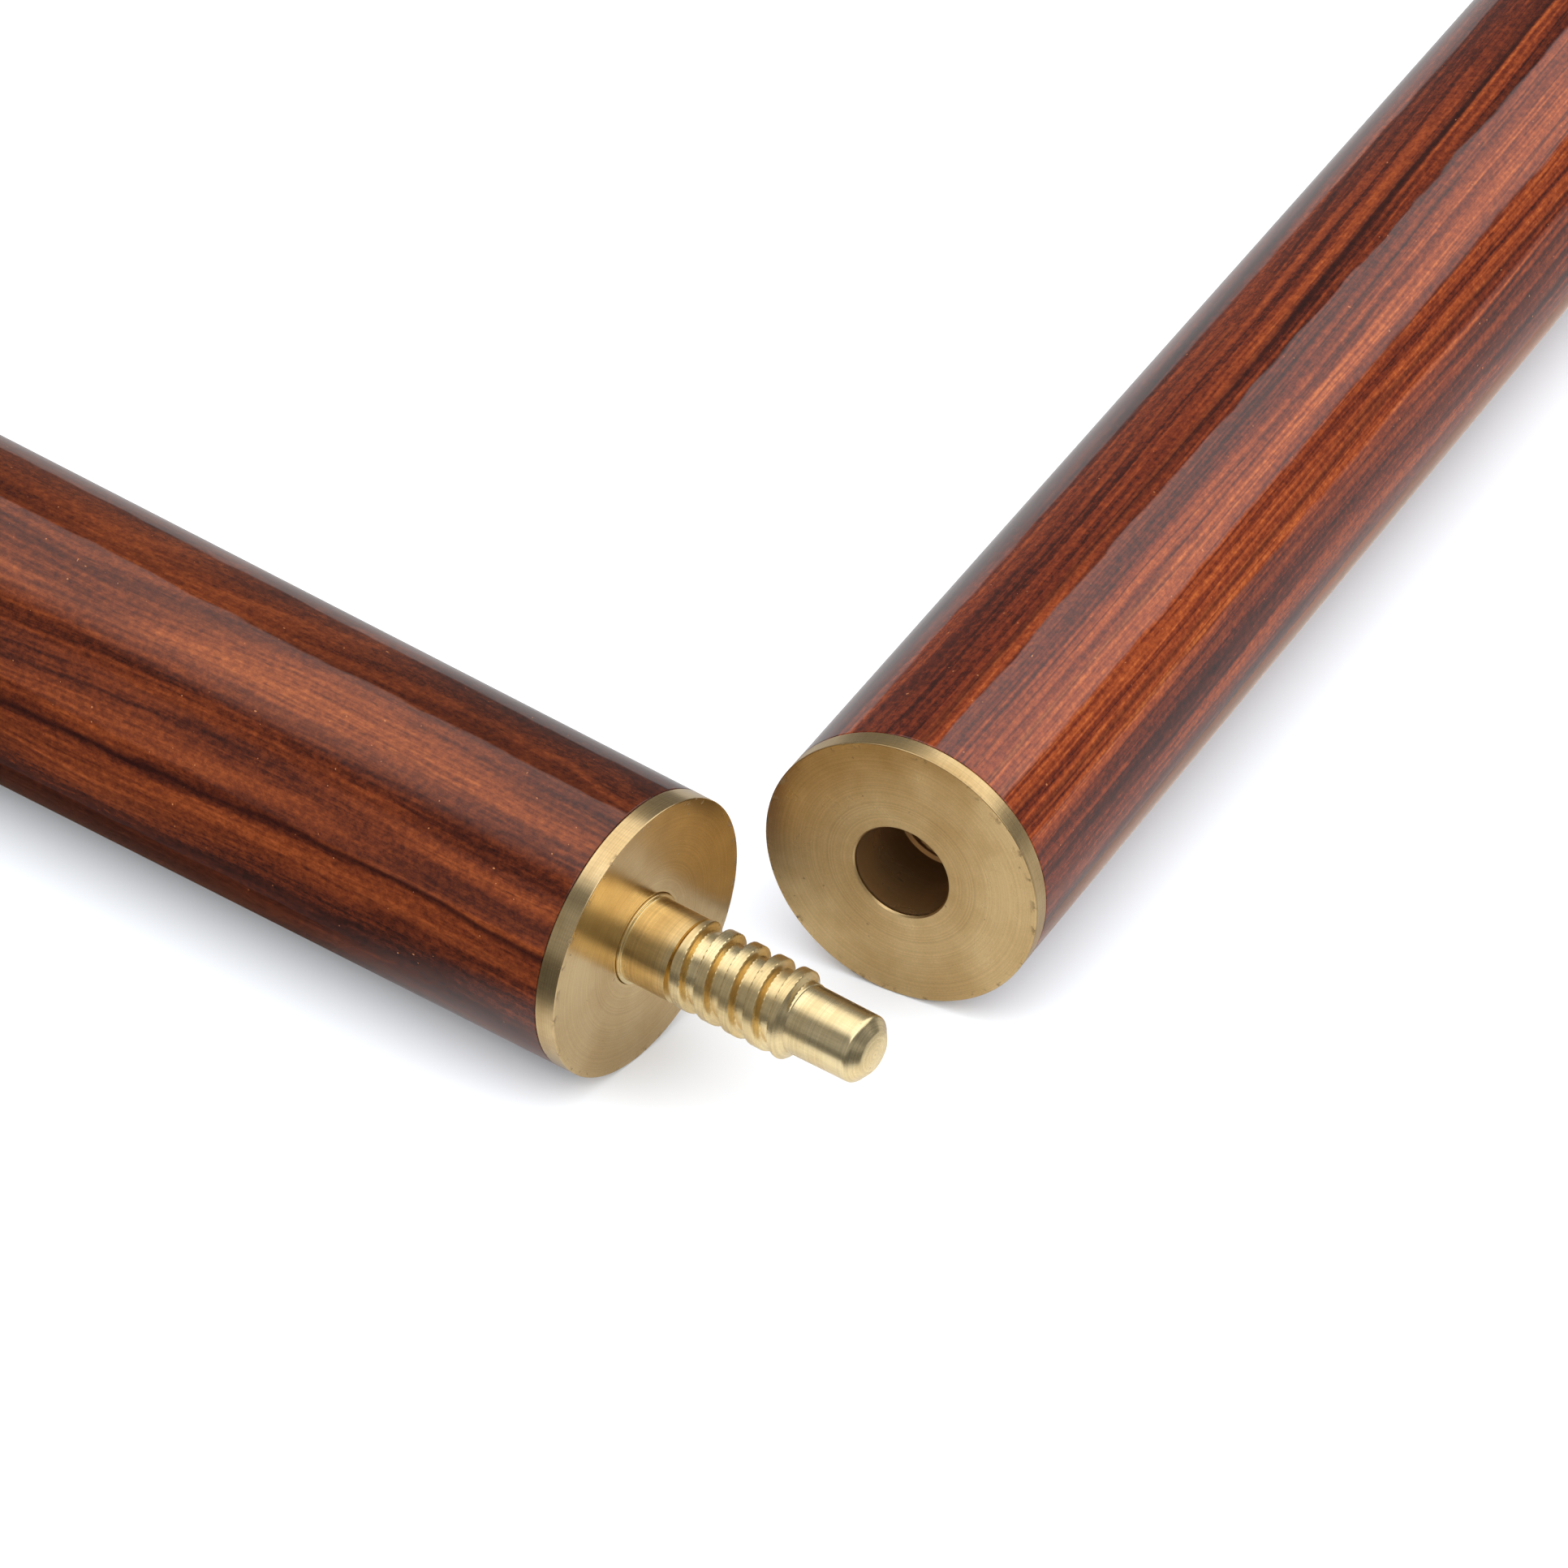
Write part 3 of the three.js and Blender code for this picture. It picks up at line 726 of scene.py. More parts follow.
def build_badge(material):
    """Blank oval plate with a bevelled edge and a fine engraved border."""
    around = angles(MIDDLE_SIDES)
    sink = 1.0
    rings = [
        (0.0, -sink), (1.0, -sink), (1.0, BADGE_PROUD - 0.08), (0.985, BADGE_PROUD - 0.02),
        (0.965, BADGE_PROUD), (0.915, BADGE_PROUD), (0.905, BADGE_PROUD - 0.05),
        (0.893, BADGE_PROUD - 0.05), (0.883, BADGE_PROUD), (0.0, BADGE_PROUD),
    ]
    tilt = math.atan(FLAT_SLOPE)
    centre = np.array([0, -BADGE_POSITION, flat_height(-BADGE_POSITION)])
    along = np.array([0, math.cos(tilt), math.sin(tilt)])
    upward = np.array([0, -math.sin(tilt), math.cos(tilt)])
    across = np.array([1.0, 0, 0])
    vertices, index = [], []
    for share, height in rings:
        inset = (1 - share) * BADGE_WIDTH / 2
        half_width = BADGE_WIDTH / 2 - inset
        half_length = BADGE_LENGTH / 2 - inset
        middle = centre + upward * height
        if share == 0:
            index.append([len(vertices)] * len(around))
            vertices.append(middle * MM)
            continue
        index.append([len(vertices) + i for i in range(len(around))])
        for angle in around:
            sideways = across * half_width * math.cos(angle)
            lengthways = along * half_length * math.sin(angle)
            vertices.append((middle + sideways + lengthways) * MM)
    faces = []
    for here, there in zip(index, index[1:]):
        for side in range(len(around)):
            after = (side + 1) % len(around)
            quad = (here[side], here[after], there[after], there[side])
            faces.append(tuple(dict.fromkeys(quad)))
    mesh = bpy.data.meshes.new("badge_blank")
    mesh.from_pydata(vertices, [], faces)
    return finished(mesh, "butt_half", material, ["badge_plate"], 20)


# ---------------------------------------------------------------- materials

def srgb(red, green, blue):
    """Linear colour from 0-255 display values."""
    shares = [value / 255 for value in (red, green, blue)]
    return (*[s / 12.92 if s <= 0.04045 else ((s + 0.055) / 1.055) ** 2.4 for s in shares], 1.0)


class Graph:
    """Short calls for building a node tree. Inputs are numbers, tuples or output sockets."""

    def __init__(self, tree):
        self.tree = tree

    def add(self, kind, inputs, output=0, **settings):
        node = self.tree.nodes.new("ShaderNode" + kind)
        for key, value in settings.items():
            setattr(node, key, value)
        for key, value in inputs.items():
            if isinstance(value, bpy.types.NodeSocket):
                self.tree.links.new(value, node.inputs[key])
            else:
                node.inputs[key].default_value = value
        return node.outputs[output]

    def math(self, operation, a, b=0.0, clamp=False):
        return self.add("Math", {0: a, 1: b}, operation=operation, use_clamp=clamp)

    def scaled(self, vector, x, y, z, shift=0.0):
        """Vector times (x, y, z), moved by the same shift on every axis."""
        inputs = {"Vector": vector, "Scale": (x, y, z), "Location": (shift, shift, shift)}
        return self.add("Mapping", inputs)

    def joined(self, x, y, z):
        return self.add("CombineXYZ", {0: x, 1: y, 2: z})

    def split(self, vector):
        node = self.tree.nodes.new("ShaderNodeSeparateXYZ")
        self.tree.links.new(vector, node.inputs[0])
        return node.outputs

    def noise(self, vector, detail=2.0, roughness=0.5):
        inputs = {"Vector": vector, "Scale": 1.0, "Detail": detail, "Roughness": roughness}
        return self.add("TexNoise", inputs)

    def ramped(self, value, low, high, to_low=0.0, to_high=1.0):
        """Smooth step from to_low at low to to_high at high."""
        inputs = {"Value": value, 1: low, 2: high, 3: to_low, 4: to_high}
        return self.add("MapRange", inputs, interpolation_type="SMOOTHSTEP")

    def peak(self, value, at, width):
        """1 where the value is at the given level, falling to 0 over the width to each side."""
        off = self.math("ABSOLUTE", self.math("SUBTRACT", value, at))
        return self.ramped(off, 0.0, width, 1.0, 0.0)

    def blend(self, factor, a, b, how="MIX"):
        inputs = {0: factor, 6: a, 7: b}
        return self.add("Mix", inputs, output=2, data_type="RGBA", blend_type=how)

    def gain(self, colour, factor):
        """Colour times a number."""
        grey = self.joined(factor, factor, factor)
        return self.blend(1.0, colour, grey, "MULTIPLY")

    def colours(self, value, stops):
        node = self.tree.nodes.new("ShaderNodeValToRGB")
        ramp = node.color_ramp
        while len(ramp.elements) < len(stops):
            ramp.elements.new(0.5)
        for element, (position, colour) in zip(ramp.elements, stops):
            element.position = position
            element.color = colour
        self.tree.links.new(value, node.inputs[0])
        return node.outputs[0]

    def bump(self, height, depth, normal=None):
        """Normal bent by a height of 0 to 1 that stands for a depth in millimetres."""
        inputs = {"Height": height, "Distance": depth * MM, "Strength": 1.0}
        if normal is not None:
            inputs["Normal"] = normal
        return self.add("Bump", inputs)

    def millimetres(self, body):
        """Place on the piece, in its half's axis frame, in millimetres."""
        inverse = FRAMES[body].inverted()
        inputs = {
            "Vector": self.add("TexCoord", {}, output="Object"),
            "Scale": (1 / MM, 1 / MM, 1 / MM),
            "Rotation": inverse.to_euler(),
            "Location": inverse.translation / MM,
        }
        return self.add("Mapping", inputs)


def new_material(name, linked, **constants):
    """Material whose shader takes links by name and constants by name."""
    material = bpy.data.materials.new(name)
    material.use_nodes = True
    shader = material.node_tree.nodes["Principled BSDF"]
    graph = Graph(material.node_tree)
    for key, value in constants.items():
        shader.inputs[key.replace("_", " ")].default_value = value
    for key, socket in linked(graph).items():
        material.node_tree.links.new(socket, shader.inputs[key])
    return material


VEIN_COLOUR = srgb(27, 5, 5)
PORE_COLOUR = srgb(24, 6, 5)
# Painted glints: colour of the sparse bright dust specks in the lacquer, painted in as lit points
DUST_GLINT_COLOUR = srgb(168, 110, 70)
RED_STOPS = [
    (0.0, srgb(36, 9, 5)),
    (0.25, srgb(68, 22, 9)),
    (0.5, srgb(98, 38, 16)),
    (0.75, srgb(128, 58, 25)),
    (1.0, srgb(160, 86, 40)),
]
BROWN_STOPS = [
    (0.0, srgb(34, 10, 5)),
    (0.25, srgb(61, 23, 10)),
    (0.5, srgb(87, 38, 16)),
    (0.75, srgb(112, 54, 24)),
    (1.0, srgb(140, 76, 36)),
]


def growth_layers(graph, place, pith, wander, drift):
    """Distance from a far-off pith, bent by slow noise, which the growth layers follow."""
    x, y, z = graph.split(place)
    from_pith = graph.add(
        "VectorMath",
        {0: graph.joined(x, 0.0, z), 1: (pith[0], 0.0, pith[1])},
        output="Value",
        operation="DISTANCE",
    )
    slow = graph.noise(graph.scaled(place, 0.05, drift, 0.05, 3.1), 1.0)
    quick = graph.noise(graph.scaled(place, 0.3, drift * 5, 0.3, 7.7), 2.0)
    bend = graph.math("MULTIPLY", graph.math("SUBTRACT", slow, 0.5), wander)
    ripple = graph.math("MULTIPLY", graph.math("SUBTRACT", quick, 0.5), wander * 0.18)
    return graph.math("ADD", from_pith, graph.math("ADD", bend, ripple))


def along_layers(graph, layer, y, density, drift, phase, detail=2.0):
    """Noise that changes across the layers at a density per mm, and slowly along them."""
    place = graph.joined(
        graph.math("MULTIPLY", layer, density), graph.math("MULTIPLY", y, drift), phase
    )
    return graph.noise(place, detail)


def rosewood(name, body, stops, pith, wander, drift, densities, shares, pale, veins, lines, coat):
    """Lacquered rosewood: growth layers, a pale band of painted sheen where the overhead light's
    reflection lies along the wood, dark veins, fibres, pores and a coat.
    """

    def linked(graph):
        place = graph.millimetres(body)
        x, y, z = graph.split(place)
        layer = growth_layers(graph, place, pith, wander, drift)
        tone = 0.0
        for index, (density, share) in enumerate(zip(densities, shares)):
            band = along_layers(graph, layer, y, density, drift * (1 + index), 5.0 * index)
            spread_band = graph.ramped(band, 0.33, 0.67, 0.0, share)
            tone = graph.math("ADD", tone, spread_band)
        # Painted sheen: the pale band lightens the layers that lie under the overhead light's
        # reflection, standing in for the fibres' sheen under the lacquer
        where, width, strength = pale
        painted_sheen = graph.math("MULTIPLY", graph.peak(layer, where, width), strength)
        tone = graph.math("ADD", tone, painted_sheen)
        mottle = graph.noise(graph.scaled(place, 2.3, 1.5, 2.3, 2.0), 4.0, 0.75)
        tone = graph.math("ADD", tone, graph.ramped(mottle, 0.25, 0.75, -0.17, 0.17))
        fibre = graph.noise(graph.scaled(place, 5.0, 0.3, 5.0, 4.0), 3.0, 0.6)
        tone = graph.math("ADD", tone, graph.ramped(fibre, 0.3, 0.7, -0.06, 0.06), clamp=True)
        colour = graph.colours(tone, stops)
        contour = along_layers(graph, layer, y, densities[0] * 1.7, drift * 1.3, 31.0, 1.0)
        dark = graph.math("MULTIPLY", graph.peak(contour, 0.5, 0.035), lines)
        for where, width, strength in veins:
            vein = graph.math("MULTIPLY", graph.peak(layer, where, width), strength)
            dark = graph.math("MAXIMUM", dark, vein)
        colour = graph.blend(dark, colour, VEIN_COLOUR)
        pore = graph.noise(graph.scaled(place, 4.2, 0.42, 4.2, 11.0), 1.0)
        colour = graph.blend(graph.ramped(pore, 0.70, 0.78, 0.0, 0.4), colour, PORE_COLOUR)
        # Painted glints: sparse bright specks of dust in the lacquer, painted into the colour as the
        # light they catch
        dust_glint = graph.noise(graph.scaled(place, 3.4, 2.6, 3.4, 23.0), 0.0)
        colour = graph.blend(graph.ramped(dust_glint, 0.865, 0.885, 0.0, 0.6), colour, DUST_GLINT_COLOUR)
        polish = graph.noise(graph.scaled(place, 0.35, 0.1, 0.35, 9.0), 2.0)
        return {
            "Base Color": colour,
            "Roughness": graph.ramped(fibre, 0.3, 0.7, 0.42, 0.56),
            "Normal": graph.bump(fibre, 0.012),
            "Coat Normal": graph.bump(polish, 0.05),
        }

    return new_material(
        name, linked, Specular_IOR_Level=0.0, Coat_Weight=1.0, Coat_Roughness=0.03, Coat_IOR=coat
    )


def ash():
    """Lacquered ash: pale, with narrow darker growth lines and long open pores."""

    def linked(graph):
        place = graph.millimetres("shaft_half")
        x, y, z = graph.split(place)
        layer = growth_layers(graph, place, (4.0, -26.0), 7.0, 0.0035)
        early = along_layers(graph, layer, y, 0.62, 0.002, 1.0)
        fine = along_layers(graph, layer, y, 3.1, 0.006, 9.0)
        tone = graph.math("ADD", graph.ramped(early, 0.34, 0.66, 0.0, 0.72), 0.12)
        tone = graph.math("ADD", tone, graph.ramped(fine, 0.3, 0.7, -0.14, 0.14), clamp=True)
        colour = graph.colours(
            tone,
            [(0.0, srgb(112, 83, 52)), (0.45, srgb(136, 111, 78)), (1.0, srgb(152, 130, 98))],
        )
        pore = graph.noise(graph.scaled(place, 4.6, 0.16, 4.6, 3.0), 1.0)
        in_early = graph.ramped(early, 0.36, 0.5, 1.0, 0.25)
        open_pore = graph.math("MULTIPLY", graph.ramped(pore, 0.62, 0.72), in_early)
        colour = graph.blend(graph.math("MULTIPLY", open_pore, 0.6), colour, srgb(84, 56, 31))
        polish = graph.noise(graph.scaled(place, 0.22, 0.05, 0.22, 9.0), 2.0)
        grain = graph.bump(pore, 0.02)
        return {
            "Base Color": colour,
            "Roughness": graph.ramped(fine, 0.3, 0.7, 0.4, 0.55),
            "Normal": grain,
            "Coat Normal": graph.bump(polish, 0.05),
        }

    return new_material(
        "ash_lacquered", linked, Specular_IOR_Level=0.3, Coat_Weight=0.8, Coat_Roughness=0.06
    )


GRIME_COLOUR = srgb(88, 62, 34)
BORE_COLOUR = srgb(146, 104, 60)

# The row frame's axis that lies nearest to each half's own
NEAREST_AXIS = {"shaft_half": "Y", "butt_half": "X"}


def turned_metal(name, body, colour, shade, roughness, ring_depth, anisotropy, dull_within=0.0):
    """Lathe-turned metal: fine rings on its faces, draw marks along its sides, grime at its rim,
    and a dull inside within a radius.
    """

    def linked(graph):
        place = graph.millimetres(body)
        x, y, z = graph.split(place)
        radius = graph.add("VectorMath", {0: graph.joined(x, 0.0, z)}, output="Value",
                           operation="LENGTH")
        rings = graph.noise(
            graph.joined(graph.math("MULTIPLY", radius, 4.5), graph.math("MULTIPLY", y, 4.5), 0.0),
            3.0, 0.7,
        )
        broken = graph.noise(graph.scaled(place, 0.9, 0.9, 0.9, 6.0), 3.0, 0.6)
        cloud = graph.noise(graph.scaled(place, 0.16, 0.3, 0.16, 2.0), 3.0, 0.55)
        drawn = graph.noise(graph.scaled(place, 5.5, 0.5, 5.5, 8.0), 2.0)
        tint = graph.blend(graph.ramped(cloud, 0.32, 0.68), shade, colour)
        tint = graph.gain(tint, graph.ramped(rings, 0.25, 0.75, 0.84, 1.12))
        tint = graph.gain(tint, graph.ramped(drawn, 0.3, 0.7, 0.95, 1.04))
        on_face = graph.peak(y, 0.0, 0.35)
        edge = graph.ramped(radius, JOINT_RADIUS - 0.75, JOINT_RADIUS - 0.12)
        edge = graph.math("MULTIPLY", edge, on_face)
        chipped = graph.math("MULTIPLY", edge, graph.ramped(broken, 0.54, 0.66))
        spot = graph.noise(graph.scaled(place, 1.4, 1.4, 1.4, 17.0), 1.0)
        stain = graph.math("MAXIMUM", chipped, graph.ramped(spot, 0.74, 0.79, 0.0, 0.6))
        tint = graph.blend(graph.math("MULTIPLY", stain, 0.7), tint, GRIME_COLOUR)
        dull = graph.math(
            "MULTIPLY",
            graph.ramped(radius, dull_within, dull_within + 0.04, 1.0, 0.0),
            graph.ramped(y, 0.1, 0.6),
        )
        tint = graph.blend(graph.math("MULTIPLY", dull, 0.8), tint, BORE_COLOUR)
        worn = graph.math("ADD", graph.ramped(cloud, 0.3, 0.7, roughness * 1.2, roughness * 0.85),
                          graph.math("MULTIPLY", stain, 0.2))
        surface = graph.bump(rings, ring_depth)
        surface = graph.bump(drawn, ring_depth * 0.5, surface)
        return {
            "Base Color": tint,
            "Roughness": worn,
            "Metallic": graph.ramped(graph.math("MAXIMUM", stain, dull), 0.0, 1.0, 1.0, 0.7),
            "Normal": graph.bump(broken, ring_depth * 0.6, surface),
            "Tangent": graph.add("Tangent", {}, direction_type="RADIAL", axis=NEAREST_AXIS[body]),
        }

    return new_material(name, linked, Anisotropic=anisotropy)


def rubber():
    """Black rubber, gritty and worn grey in places."""

    def linked(graph):
        place = graph.millimetres("butt_half")
        grit = graph.noise(graph.scaled(place, 3.0, 3.0, 3.0), 4.0, 0.6)
        wear = graph.noise(graph.scaled(place, 0.35, 0.5, 0.35, 5.0), 3.0)
        colour = graph.blend(graph.ramped(wear, 0.35, 0.7), srgb(24, 24, 26), srgb(48, 47, 48))
        return {
            "Base Color": graph.gain(colour, graph.ramped(grit, 0.3, 0.7, 0.85, 1.2)),
            "Roughness": graph.ramped(wear, 0.3, 0.7, 0.62, 0.82),
            "Normal": graph.bump(grit, 0.03),
        }

    return new_material("bumper_rubber", linked, Specular_IOR_Level=0.4)


def leather():
    """Layered brown leather, with chalk left on its crown."""

    def linked(graph):
        place = graph.millimetres("shaft_half")
        x, y, z = graph.split(place)
        plies = graph.noise(graph.joined(0.0, graph.math("MULTIPLY", y, 1.9), 0.0), 1.0)
        hide = graph.noise(graph.scaled(place, 1.6, 2.4, 1.6), 5.0, 0.7)
        colour = graph.blend(graph.ramped(plies, 0.35, 0.65), srgb(66, 44, 30), srgb(106, 77, 53))
        colour = graph.gain(colour, graph.ramped(hide, 0.3, 0.7, 0.8, 1.15))
        crown = graph.ramped(y, SHAFT_LENGTH - TIP_DOME - 0.8, SHAFT_LENGTH - 0.6)
        dust = graph.math("MULTIPLY", crown, graph.ramped(hide, 0.38, 0.62, 0.25, 0.95))
        return {
            "Base Color": graph.blend(dust, colour, srgb(66, 96, 120)),
            "Roughness": graph.ramped(hide, 0.3, 0.7, 0.7, 0.92),
            "Normal": graph.bump(hide, 0.08),
        }

    return new_material("tip_leather", linked, Specular_IOR_Level=0.3)


SPLICE_WOOD = rosewood(
    "rosewood_lined",
    "shaft_half",
    RED_STOPS,
    pith=(52.7, -28.6),
    wander=5.0,
    drift=0.006,
    densities=(0.34, 0.95, 3.2),
    shares=(0.24, 0.28, 0.28),
    # pale: where, how wide and how strong the band of painted sheen is
    pale=(60.2, 7.5, 0.28),
    veins=[(66.8, 0.5, 0.6), (65.2, 0.25, 0.4), (55.6, 0.4, 0.5), (53.4, 0.3, 0.4)],
    lines=0.4,
    coat=1.5,
)
BUTT_WOOD = rosewood(
    "rosewood_banded",
    "butt_half",
    BROWN_STOPS,
    pith=(48.4, -50.6),
    wander=8.0,
    drift=0.013,
    densities=(0.2, 0.6, 2.4),
    shares=(0.34, 0.2, 0.18),
    # pale: where, how wide and how strong the band of painted sheen is
    pale=(75.6, 5.0, 0.2),
    veins=[(65.9, 0.5, 0.8), (78.9, 0.9, 0.35), (61.0, 0.35, 0.3)],
    lines=0.25,
    coat=1.4,
)


SHAFT_BRASS = turned_metal(
    "brass_satin",
    "shaft_half",
    colour=srgb(218, 189, 138),
    shade=srgb(198, 166, 114),
    roughness=0.3,
    ring_depth=0.003,
    anisotropy=0.5,
    dull_within=BORE_MOUTH_RADIUS + 0.02,
)
BUTT_BRASS = turned_metal(
    "brass_polished",
    "butt_half",
    colour=srgb(224, 197, 148),
    shade=srgb(206, 176, 126),
    roughness=0.21,
    ring_depth=0.0012,
    anisotropy=0.3,
)
PIN_BRASS = turned_metal(
    "brass_bright",
    "butt_half",
    colour=srgb(244, 224, 176),
    shade=srgb(230, 204, 150),
    roughness=0.27,
    ring_depth=0.004,
    anisotropy=0.3,
)
STEEL = turned_metal(
    "weight_steel",
    "butt_half",
    colour=srgb(176, 178, 182),
    shade=srgb(140, 142, 146),
    roughness=0.35,
    ring_depth=0.003,
    anisotropy=0.4,
)


# ---------------------------------------------------------------- the pieces

def dress_weights():
    """The steel weights are right as they are: they only take the steel's finish."""
    for name in ("weight_front", "weight_middle", "weight_rear"):
        frame["nodes"][name].material_slots[0].material = STEEL


build_socket(SHAFT_BRASS)
build_splice(SPLICE_WOOD)
build_shaft(ash())
build_ferrule(SHAFT_BRASS)
build_tip(leather())
build_plate(BUTT_BRASS)
build_pin(PIN_BRASS)
build_butt(BUTT_WOOD)
build_end_plate(BUTT_BRASS)
build_bumper(rubber())
build_bumper_screw(BUTT_BRASS)
build_badge(BUTT_BRASS)
dress_weights()


# ---------------------------------------------------------------- studio

FLOOR_SIZE = 12.0
FLOOR_DROP = 0.00005
PATCH_SIZE = 0.1
PATCH_SHIFT = (-0.006, 0.004)  # from the point where the axes cross
PATCH_FADE = (22, 44)
SHADE_REACH = 14
# Painted shade: tones of the dark strips that stand, in reflections, for the shade each half casts on
# the table
SHAFT_SHADE = [(0.0, srgb(158, 140, 128)), (1.0, srgb(168, 150, 136))]
BUTT_SHADE = [(0.0, srgb(58, 44, 38)), (1.0, srgb(66, 50, 42))]

# The overhead panel. A direction's slopes (sideways and forward over up) are measured across the
# panel and along it; the panel gives its light between these limits.
PANEL_TURN = math.radians(53)
PANEL_NEAR_EDGE = -0.88
PANEL_FAR_EDGE = 0.9
PANEL_START = (-0.95, -0.45)
PANEL_END = 2.1
SHARP_EDGE = 0.02
SOFT_EDGE = 0.2
END_EDGE = 0.12
PANEL_LIGHT = 1.5
FRONT_LIGHT = 0.35  # low in front of the table
DARK_LIGHT = 0.2  # everywhere else above the table
FRONT_SLOPE = -1.0
FAR_TABLE_LIGHT = 0.6  # behind the cue, past the edge of what reflections see of the table
NEAR_TABLE_LIGHT = 0.13
ROOM_LIGHT = 2.8  # what matt surfaces receive from every side


def build_table(name, half, centre, tones, fade=None):
    """Square of pale table; a fade, from and to in mm from its centre, makes it a soft round patch."""
    mesh = bpy.data.meshes.new(name)
    corners = [(-half, -half, 0), (half, -half, 0), (half, half, 0), (-half, half, 0)]
    mesh.from_pydata(corners, [], [(0, 1, 2, 3)])
    table = bpy.data.objects.new(name, mesh)
    bpy.context.scene.collection.objects.link(table)
    table.location = centre

    def linked(graph):
        place = graph.add("TexCoord", {}, output="Object")
        links = {"Base Color": graph.colours(graph.noise(graph.scaled(place, 10, 10, 10)), tones)}
        if fade:
            away = graph.add("VectorMath", {0: place}, output="Value", operation="LENGTH")
            links["Alpha"] = graph.ramped(away, fade[0] * MM, fade[1] * MM, 1.0, 0.0)
        return links

    mesh.materials.append(new_material(name, linked, Roughness=0.9, Specular_IOR_Level=0.0))
    return table


def build_floor():
    """The table top, and the duller patch and strips of it that only reflections see; the strips are
    painted shade.
    """
    centre = (CROSSING.x, CROSSING.y, -FLOOR_DROP)
    tones = [(0.0, srgb(227, 230, 234)), (1.0, srgb(232, 235, 239))]
    floor = build_table("floor", FLOOR_SIZE / 2, centre, tones)
    floor.visible_glossy = False
    centre = (CROSSING.x + PATCH_SHIFT[0], CROSSING.y + PATCH_SHIFT[1], -FLOOR_DROP / 2)
    tones = [(0.0, srgb(188, 188, 188)), (1.0, srgb(194, 194, 194))]
    patch = build_table("floor_seen_in_brass", PATCH_SIZE / 2, centre, tones, PATCH_FADE)
    only_reflected(patch)
    build_shade("shade_under_shaft", "shaft_half", 0, SHAFT_LENGTH, SHAFT_SHADE)
    build_shade("shade_under_butt", "butt_half", -BUTT_LENGTH, 0, BUTT_SHADE)


def only_reflected(stand_in):
    """Hides a stand-in from everything except reflections."""
    stand_in.visible_camera = False
    stand_in.visible_diffuse = False
    stand_in.visible_shadow = False


def build_shade(name, body, start, end, tones):
    """Painted shade: a darker strip of table under a half, which keeps the light from it, seen only in
    reflections.
    """
    low = -(JOINT_RADIUS + FLOOR_DROP / MM)
    points = [(x, y, low - TAPER * -y) for x, y in (
        (-SHADE_REACH, start), (SHADE_REACH, start), (SHADE_REACH, end), (-SHADE_REACH, end)
    )]
    mesh = bpy.data.meshes.new(name)
    mesh.from_pydata([Vector(p) * MM for p in points], [], [(0, 1, 2, 3)])
    mesh.transform(FRAMES[body])

    def linked(graph):
        place = graph.millimetres(body)
        return {"Base Color": graph.colours(graph.noise(place), tones)}

    mesh.materials.append(new_material(name, linked, Roughness=0.9, Specular_IOR_Level=0.0))
    strip = bpy.data.objects.new(name, mesh)
    bpy.context.scene.collection.objects.link(strip)
    only_reflected(strip)


def grey(level):
    return (level, level, level, 1.0)


def lit_directions(graph, x, y, z):
    """1 where a direction meets the overhead panel, and 1 where it meets the low light in front."""
    up = graph.math("MAXIMUM", z, 0.001)
    sideways = graph.math("DIVIDE", x, up)
    forward = graph.math("DIVIDE", y, up)
    cos, sin = math.cos(PANEL_TURN), math.sin(PANEL_TURN)
    across = graph.math(
        "SUBTRACT", graph.math("MULTIPLY", sideways, sin), graph.math("MULTIPLY", forward, cos)
    )
    along = graph.math(
        "ADD", graph.math("MULTIPLY", sideways, cos), graph.math("MULTIPLY", forward, sin)
    )
    edges = [
        graph.ramped(across, PANEL_NEAR_EDGE - SHARP_EDGE, PANEL_NEAR_EDGE + SHARP_EDGE),
        graph.ramped(across, PANEL_FAR_EDGE - SOFT_EDGE, PANEL_FAR_EDGE + SOFT_EDGE, 1.0, 0.0),
        graph.ramped(along, *PANEL_START),
        graph.ramped(along, PANEL_END - END_EDGE, PANEL_END + END_EDGE, 1.0, 0.0),
    ]
    mask = edges[0]
    for edge in edges[1:]:
        mask = graph.math("MULTIPLY", mask, edge)
    low_front = graph.ramped(forward, FRONT_SLOPE - 0.12, FRONT_SLOPE + 0.05, 1.0, 0.0)
    return mask, low_front


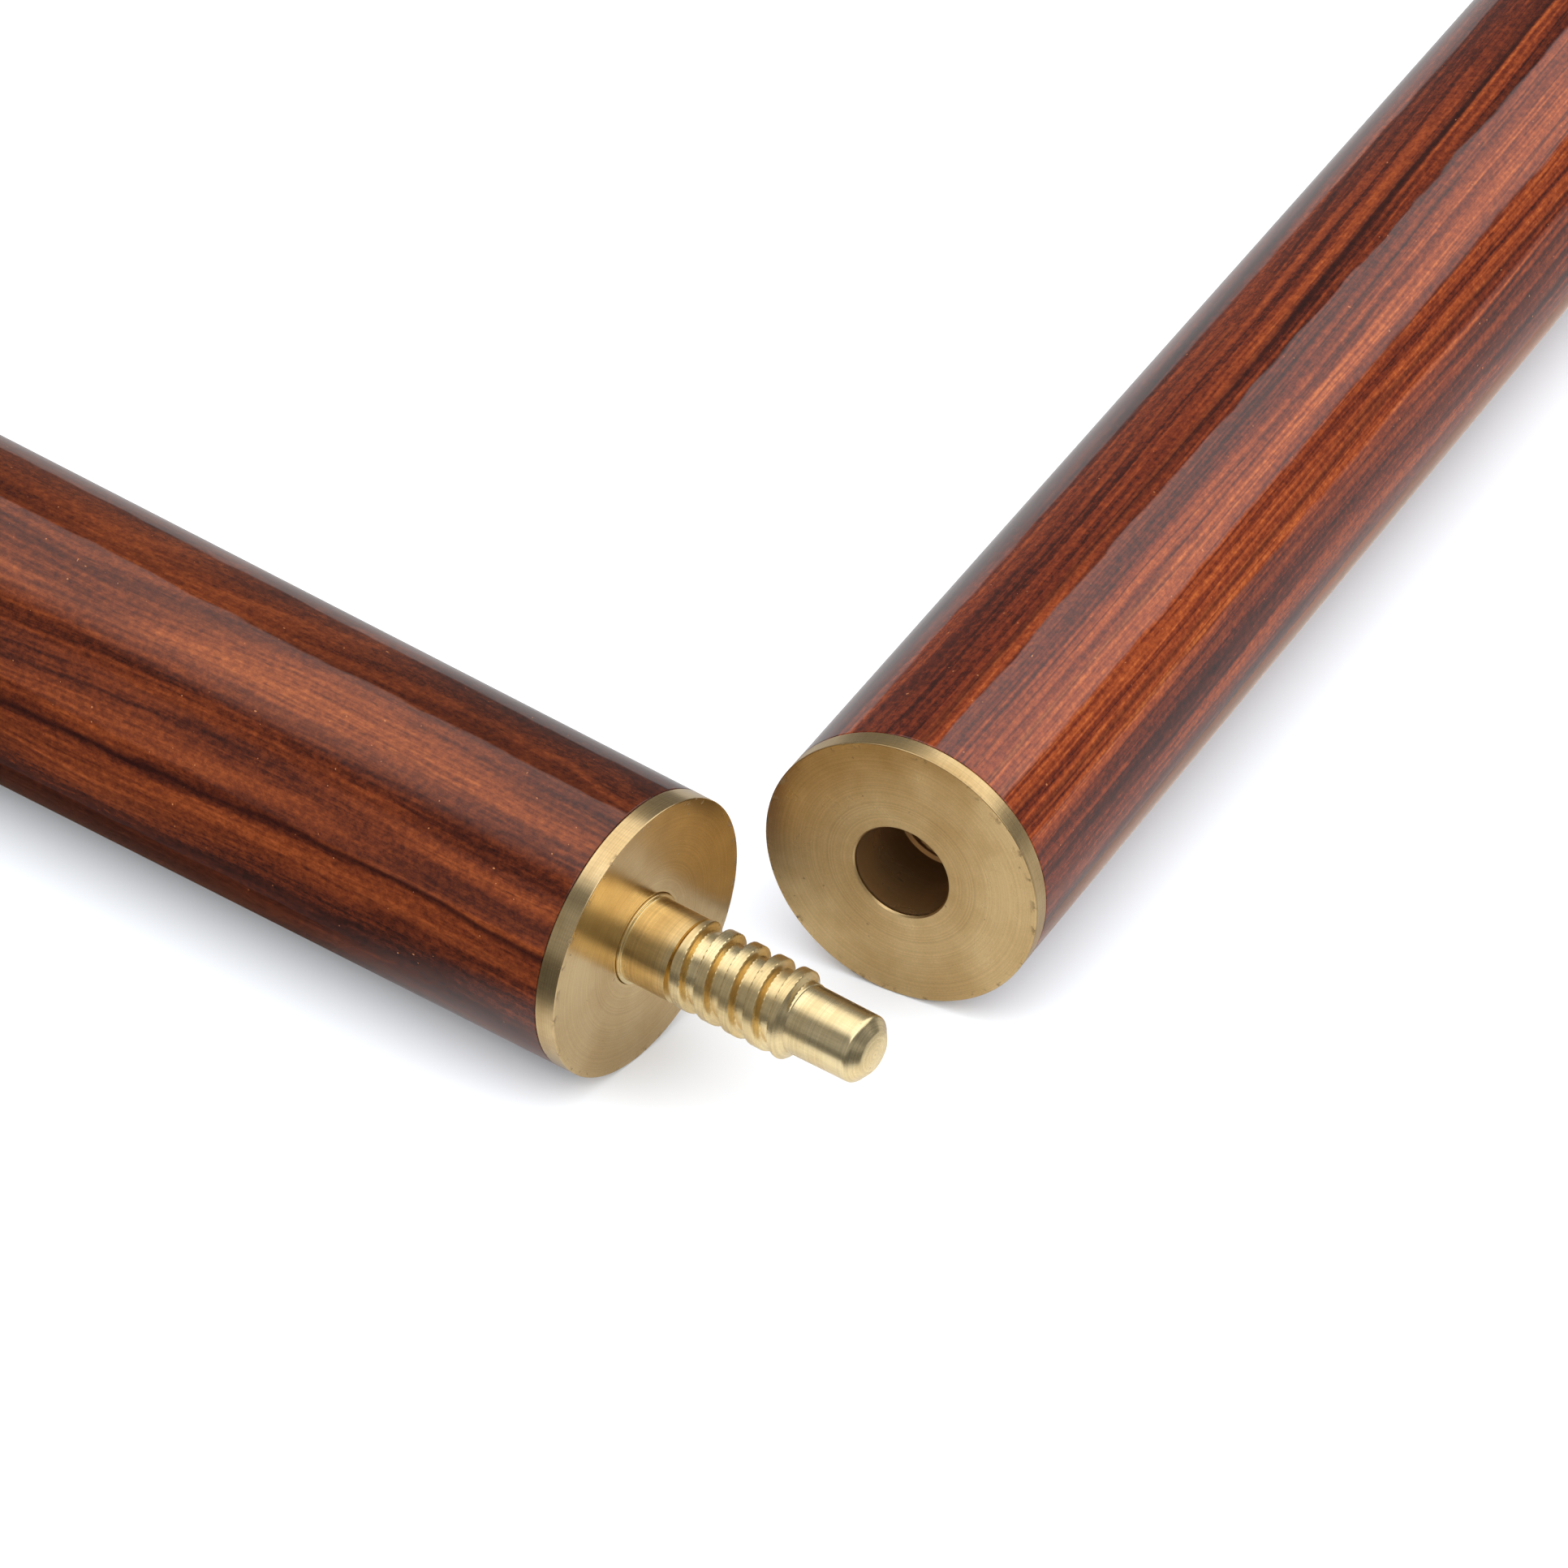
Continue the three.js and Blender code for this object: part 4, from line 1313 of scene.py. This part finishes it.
def build_world():
    """What reflections see is laid out by direction; matt surfaces get one even light."""
    world = bpy.data.worlds.new("studio")
    bpy.context.scene.world = world
    world.use_nodes = True
    graph = Graph(world.node_tree)
    x, y, z = graph.split(graph.add("TexCoord", {}, output="Generated"))
    mask, low_front = lit_directions(graph, x, y, z)
    above = graph.blend(low_front, grey(DARK_LIGHT), grey(FRONT_LIGHT))
    above = graph.blend(mask, above, grey(PANEL_LIGHT))
    behind = graph.ramped(y, -0.2, 0.2)
    below = graph.blend(behind, grey(NEAR_TABLE_LIGHT), grey(FAR_TABLE_LIGHT))
    mirrored = graph.blend(graph.ramped(z, -0.02, 0.02), below, above)
    path = world.node_tree.nodes.new("ShaderNodeLightPath")
    light = graph.blend(path.outputs["Is Diffuse Ray"], mirrored, grey(ROOM_LIGHT))
    seen = graph.blend(path.outputs["Is Camera Ray"], light, grey(1.0))
    world.node_tree.links.new(seen, world.node_tree.nodes["Background"].inputs["Color"])


# ---------------------------------------------------------------- camera

AZIMUTH = math.radians(25.38)
ELEVATION = math.radians(38.29)
ROLL = 0.0592
DISTANCE = 1.608
LENS = 467.0
LOOK_AT = Vector((CROSSING.x - 0.0131, CROSSING.y + 0.02495, 0.012))


def build_camera():
    away = Vector((
        math.sin(AZIMUTH) * math.cos(ELEVATION),
        -math.cos(AZIMUTH) * math.cos(ELEVATION),
        math.sin(ELEVATION),
    ))
    right = Vector((math.cos(AZIMUTH), math.sin(AZIMUTH), 0))
    above = away.cross(right)
    rolled_right = math.cos(ROLL) * right + math.sin(ROLL) * above
    rolled_above = math.cos(ROLL) * above - math.sin(ROLL) * right
    data = bpy.data.cameras.new("camera")
    data.lens = LENS
    data.sensor_width = 36.0
    data.clip_start = 0.01
    data.clip_end = 60.0
    camera = bpy.data.objects.new("camera", data)
    bpy.context.scene.collection.objects.link(camera)
    turn = Matrix((rolled_right, rolled_above, away)).transposed().to_4x4()
    turn.translation = LOOK_AT + away * DISTANCE
    camera.matrix_world = turn
    bpy.context.scene.camera = camera


build_floor()
build_world()
build_camera()
bpy.context.scene.view_settings.view_transform = "Standard"
